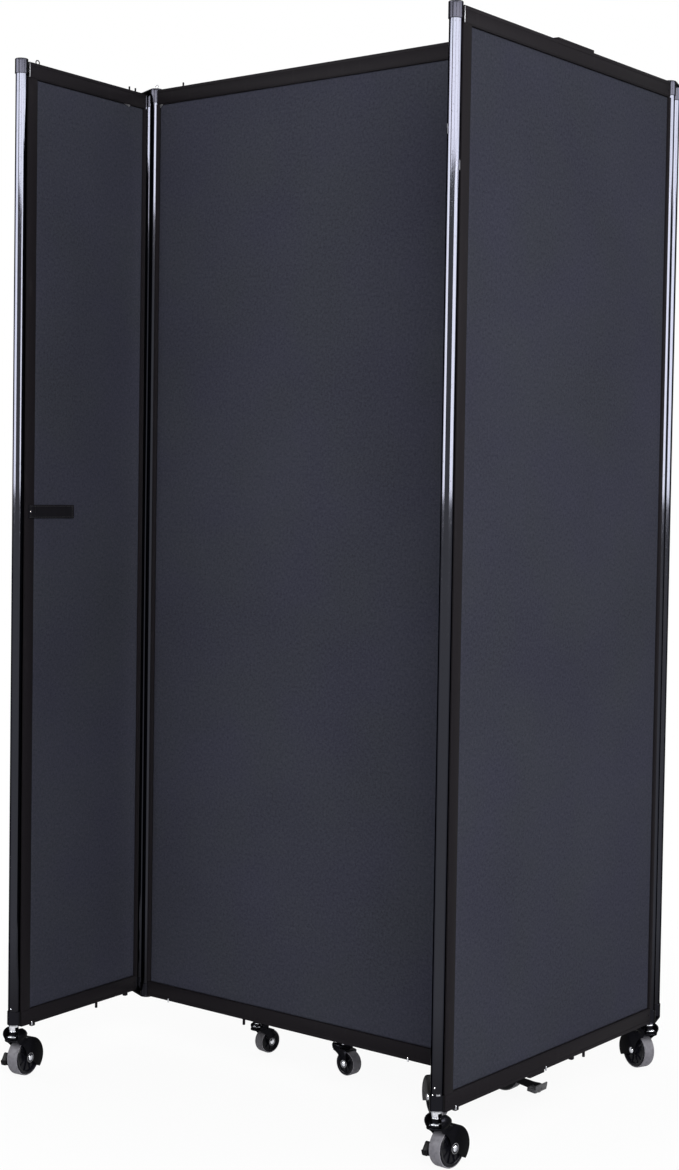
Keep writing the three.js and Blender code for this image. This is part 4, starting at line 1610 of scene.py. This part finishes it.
def pegs(kind, table, z, way, size):
    for letter, places in table.items():
        spots = [((x, 0, z), (0, 0, way)) for x in places]
        heads(f"{kind}_{letter}", spots, STUD, size, SATIN, letter)


def foot_lugs():
    """Small tabs under the foot rails."""
    for letter, spans in FOOT_LUGS.items():
        shape = Shape()
        for start, end in spans:
            low = (start, 0.0, FRAME_FOOT - 0.0065)
            shape.add(block(low, (end, 0.9 * RAIL_HALF, FRAME_FOOT - GAP), 0.0016), SATIN)
        panel_piece(f"foot_lugs_{letter}", shape, letter)


def top_strip():
    """The thin plate on panel C's top rail, with a stud near each end."""
    start, end = STRIP_ENDS
    across_half = 0.8 * RAIL_HALF
    strip = Shape()
    low = (start, -across_half, FRAME_TOP + GAP)
    strip.add(block(low, (end, across_half, FRAME_TOP + STRIP), 0.0008), SATIN)
    for x in STRIP_STUDS:
        strip.add(lathe([
            (0, STRIP - 0.001), (0.0035, STRIP - 0.001), (0.0035, STRIP + 0.0003),
            (0.0024, STRIP + 0.0009), (0, STRIP + 0.0010),
        ], 24), SATIN, moved(x, 0, FRAME_TOP))
    panel_piece("top_strip_C", strip, "C")


def post_clips_and_rim_glint():
    """Clips round panel C's free post, and just over its collar a small zinc strip that is a painted
    highlight on the collar's rim.
    """
    clips = Shape()
    for first, last, height in POST_CLIPS:
        clips.add(post_clip(first, last), CHROME, moved(SPANS["C"], 0, FRAME_FOOT + height))
    # A painted highlight: a small bright strip where the collar's rim catches the light.
    clips.add(post_clip(28, 62, 0.0016), ZINC, moved(SPANS["C"], 0, 0.1412))
    panel_piece("post_clips_C", clips, "C")


def post_rivets():
    for letter, places in POST_RIVETS.items():
        spots = []
        for degrees, z in places:
            way = (math.cos(math.radians(degrees)), math.sin(math.radians(degrees)), 0)
            spots.append(((SPANS[letter] + TUBE_RADIUS * way[0], TUBE_RADIUS * way[1], z), way))
        heads(f"post_rivets_{letter}", spots, DOME, 0.0014, CHROME, letter)


def rail_end_highlight_plates():
    """A bright zinc plate at the end of a top rail, beside the free post: a painted highlight for the bright
    line there.
    """
    face = RAIL_HALF + 0.0003
    for letter in ("A", "C"):
        end = SPANS[letter] - RAIL_START
        shape = Shape()
        low = (end - 0.0016, -face, FRAME_TOP - 0.0305)
        # Painted highlight: a thin bright plate that gives the light line at the rail's end.
        shape.add(block(low, (end, face, FRAME_TOP - 0.0012), 0.0003), ZINC)
        panel_piece(f"rail_end_plate_{letter}", shape, letter)


def corner_glint_plates():
    """Thin zinc corner pieces that hang just below a top rail: painted glints where light shows at the
    corner.
    """
    low = FRAME_TOP - RAIL_HEIGHT + 0.0006
    glint_triangles = {"A": (1, [(0.067, low), (0.092, low), (0.071, low - 0.0050)]),
               "B": (-1, [(0.0195, low), (0.0310, low), (0.0205, low - 0.0080)])}
    for letter, (side, corners) in glint_triangles.items():
        near, far = sorted((side * 0.0068, side * 0.0082))
        shape = Shape()
        # Painted glint: a light zinc triangle that stands in for light showing at the corner.
        shape.add(side_plate(softened(corners, 0.0008, 2), near, far, 0.0002), ZINC)
        panel_piece(f"corner_clip_{letter}", shape, letter)


def rail_screws():
    """A screw on both faces of each rail, near both of its ends."""
    inset = 0.008
    for letter in ("A", "B", "C", "D"):
        ends = [RAIL_START + inset, SPANS[letter] - RAIL_START - inset]
        spots = [((x, side * RAIL_HALF, z), (0, side, 0)) for x in ends for side in (-1, 1)
                 for z in (FRAME_FOOT + 0.019, FRAME_TOP - 0.019)]
        heads(f"rail_screws_{letter}", spots, DOME, 0.0020, SATIN, letter)


def frame_fasteners():
    foot_bolts()
    pegs("foot_pegs", FOOT_PEGS, FRAME_FOOT, -1, 0.0029)
    pegs("top_pegs", TOP_PEGS, FRAME_TOP, 1, 0.0019)
    foot_lugs()
    top_strip()
    wire_loop("top_loop_A", SATIN, "A", (TOP_LOOP, 0, FRAME_TOP))
    wire_loop("link_loop_AB", ZINC, "B", (0.0, 0, FRAME_TOP + GAP + PLATE - 0.001))
    post_clips_and_rim_glint()
    post_rivets()
    rail_end_highlight_plates()
    corner_glint_plates()
    rail_screws()


# Light, floor and camera

# Each bank: its middle and half width in degrees round the screen, its foot and its top.
BANKS = [
    (-72, 25, 1.20, 3.10), (54, 31, 1.20, 2.43),
    (-15, 22.5, 2.43, 3.10), (30, 22.5, 2.43, 3.10), (75, 22.5, 2.43, 3.10),
]
BANK_LEVEL = 16.0
KEY_TURN = 9
KEY_LEVEL = 7.0
DOME_LEVEL = 0.80
FLOOR_SHADOW = 0.07


def seen_directly(tree):
    """1 on the rays of the camera, a mirror or glass."""
    camera = tree.node("ShaderNodeLightPath")
    return camera.at_least(camera.sibling("Is Glossy Ray")).at_least(camera.sibling("Is Transmission Ray"))


def set_world():
    """White where the camera, a mirror or glass looks, and a soft dome for the light itself."""
    world = bpy.data.worlds.new("studio")
    bpy.context.scene.world = world
    world.use_nodes = True
    tree = Tree(world.node_tree)
    seen = seen_directly(tree)
    dome = tree.node("ShaderNodeBackground", {}, {"Color": (1, 1, 1, 1), "Strength": DOME_LEVEL})
    white = tree.node("ShaderNodeBackground", {}, {"Color": (1, 1, 1, 1), "Strength": 1.0})
    both = tree.node("ShaderNodeMixShader", {}, {0: seen, 1: dome, 2: white})
    tree.node("ShaderNodeOutputWorld", {}, {"Surface": both})


def set_floor():
    """A pale floor that is white to the camera apart from the screen's own soft shadow."""
    made = bmesh.new()
    bmesh.ops.create_grid(made, x_segments=2, y_segments=2, size=14.0)
    floor = add_object("floor", mesh_from("floor", made))
    material = bpy.data.materials.new("pale_floor")
    material.use_nodes = True
    tree = Tree(material.node_tree)
    seen = seen_directly(tree)
    where = tree.node("ShaderNodeTexCoord", output=3)
    away = tree.node("ShaderNodeVectorMath", {"operation": "LENGTH"}, {0: where}, output=1)
    near = 1 - away.spread(0.7, 1.8)
    paint = tree.node("ShaderNodeBsdfDiffuse", {}, {"Color": (0.80, 0.80, 0.80, 1.0)})
    white = tree.node("ShaderNodeEmission", {}, {"Color": (1, 1, 1, 1), "Strength": 1.0})
    shown = tree.node("ShaderNodeMixShader", {}, {0: seen * (1 - near * FLOOR_SHADOW), 1: paint, 2: white})
    tree.node("ShaderNodeOutputMaterial", {}, {"Surface": shown})
    floor.data.materials.append(material)


def softbox(name, place, target, size, level, on_cloth=False):
    """An area lamp of one brightness. The banks show in gloss alone, the key in matt alone."""
    light = bpy.data.lights.new(name, "AREA")
    light.shape = "RECTANGLE"
    light.size, light.size_y = size
    light.energy = 4 * size[0] * size[1] * level
    made = add_object(name, light)
    made.visible_diffuse = on_cloth
    made.visible_glossy = not on_cloth
    way = Vector(target) - Vector(place)
    made.matrix_world = Matrix.Translation(place) @ way.to_track_quat("-Z", "Y").to_matrix().to_4x4()


def round_the_screen(turn, distance, height):
    """A place round the screen. The turn is counted from the camera's side, in degrees."""
    angle = CAMERA_YAW + math.pi + math.radians(turn)
    return distance * math.cos(angle), distance * math.sin(angle), height


def set_lights():
    """Two tall banks and a high band that the tubes mirror, and a broad soft key for the cloth."""
    far = 4.5
    for index, (turn, half, low, high) in enumerate(BANKS):
        middle_height = (low + high) / 2
        width = 2 * far * math.sin(math.radians(half))
        place = round_the_screen(turn, far, middle_height)
        softbox(f"bank_{index}", place, (0, 0, middle_height), (width, high - low), BANK_LEVEL)
    softbox("key", round_the_screen(KEY_TURN, 5.5, 3.0), (0, 0, 1.0), (3.0, 3.0), KEY_LEVEL, on_cloth=True)


def camera_place():
    return PLACES["B"].translation + Vector(CAMERA_FROM_POST)


def set_camera():
    lens = bpy.data.cameras.new("photo_camera")
    lens.sensor_fit = "AUTO"
    lens.sensor_width = SENSOR * 1000
    lens.lens = FOCAL_PIXELS / PHOTO_HEIGHT * lens.sensor_width
    lens.clip_end = 60
    camera = add_object("photo_camera", lens)
    flat = math.cos(CAMERA_PITCH)
    ahead = Vector((flat * math.cos(CAMERA_YAW), flat * math.sin(CAMERA_YAW), -math.sin(CAMERA_PITCH)))
    right = ahead.cross(Vector((0, 0, 1))).normalized()
    above = right.cross(ahead)
    tilt = Matrix.Rotation(-CAMERA_ROLL, 3, ahead)
    right = tilt @ right
    above = tilt @ above
    turn = Matrix((right, above, -ahead)).transposed().to_4x4()
    camera.matrix_world = Matrix.Translation(camera_place()) @ turn
    bpy.context.scene.camera = camera


set_camera()
for panel_letter in PLACES:
    for post_index in (0, 1):
        frame_post(panel_letter, post_index)
    rail(panel_letter, False)
    rail(panel_letter, True)
    board_core(panel_letter)
    cloth_face(panel_letter, 1)
    cloth_face(panel_letter, -1)
for top in (True, False):
    link("AB", POSTS["B"][0], POSTS["A"][0], top)
    link("BD", POSTS["B"][1], POSTS["D"][0], top)
    link("DC", POSTS["D"][1], POSTS["C"][0], top)
for end_letter in ("A", "C"):
    post_cap(end_letter)
    post_collar(end_letter)
build_casters()
small_socket = levels(SMALL)[4] + GAP
outrigger("outrigger_B1", "B", "B1", SMALL, small_socket)
outrigger("outrigger_B2", "B", "B2", SMALL, small_socket)
outrigger("outrigger_D", "D", "D", LARGE, FOOT_PLATE)
strap()
frame_fasteners()
for head_shape in (DOME, HEX, STUD):
    bpy.data.objects.remove(head_shape)
set_world()
set_floor()
set_lights()
bpy.context.scene.view_settings.view_transform = "Standard"
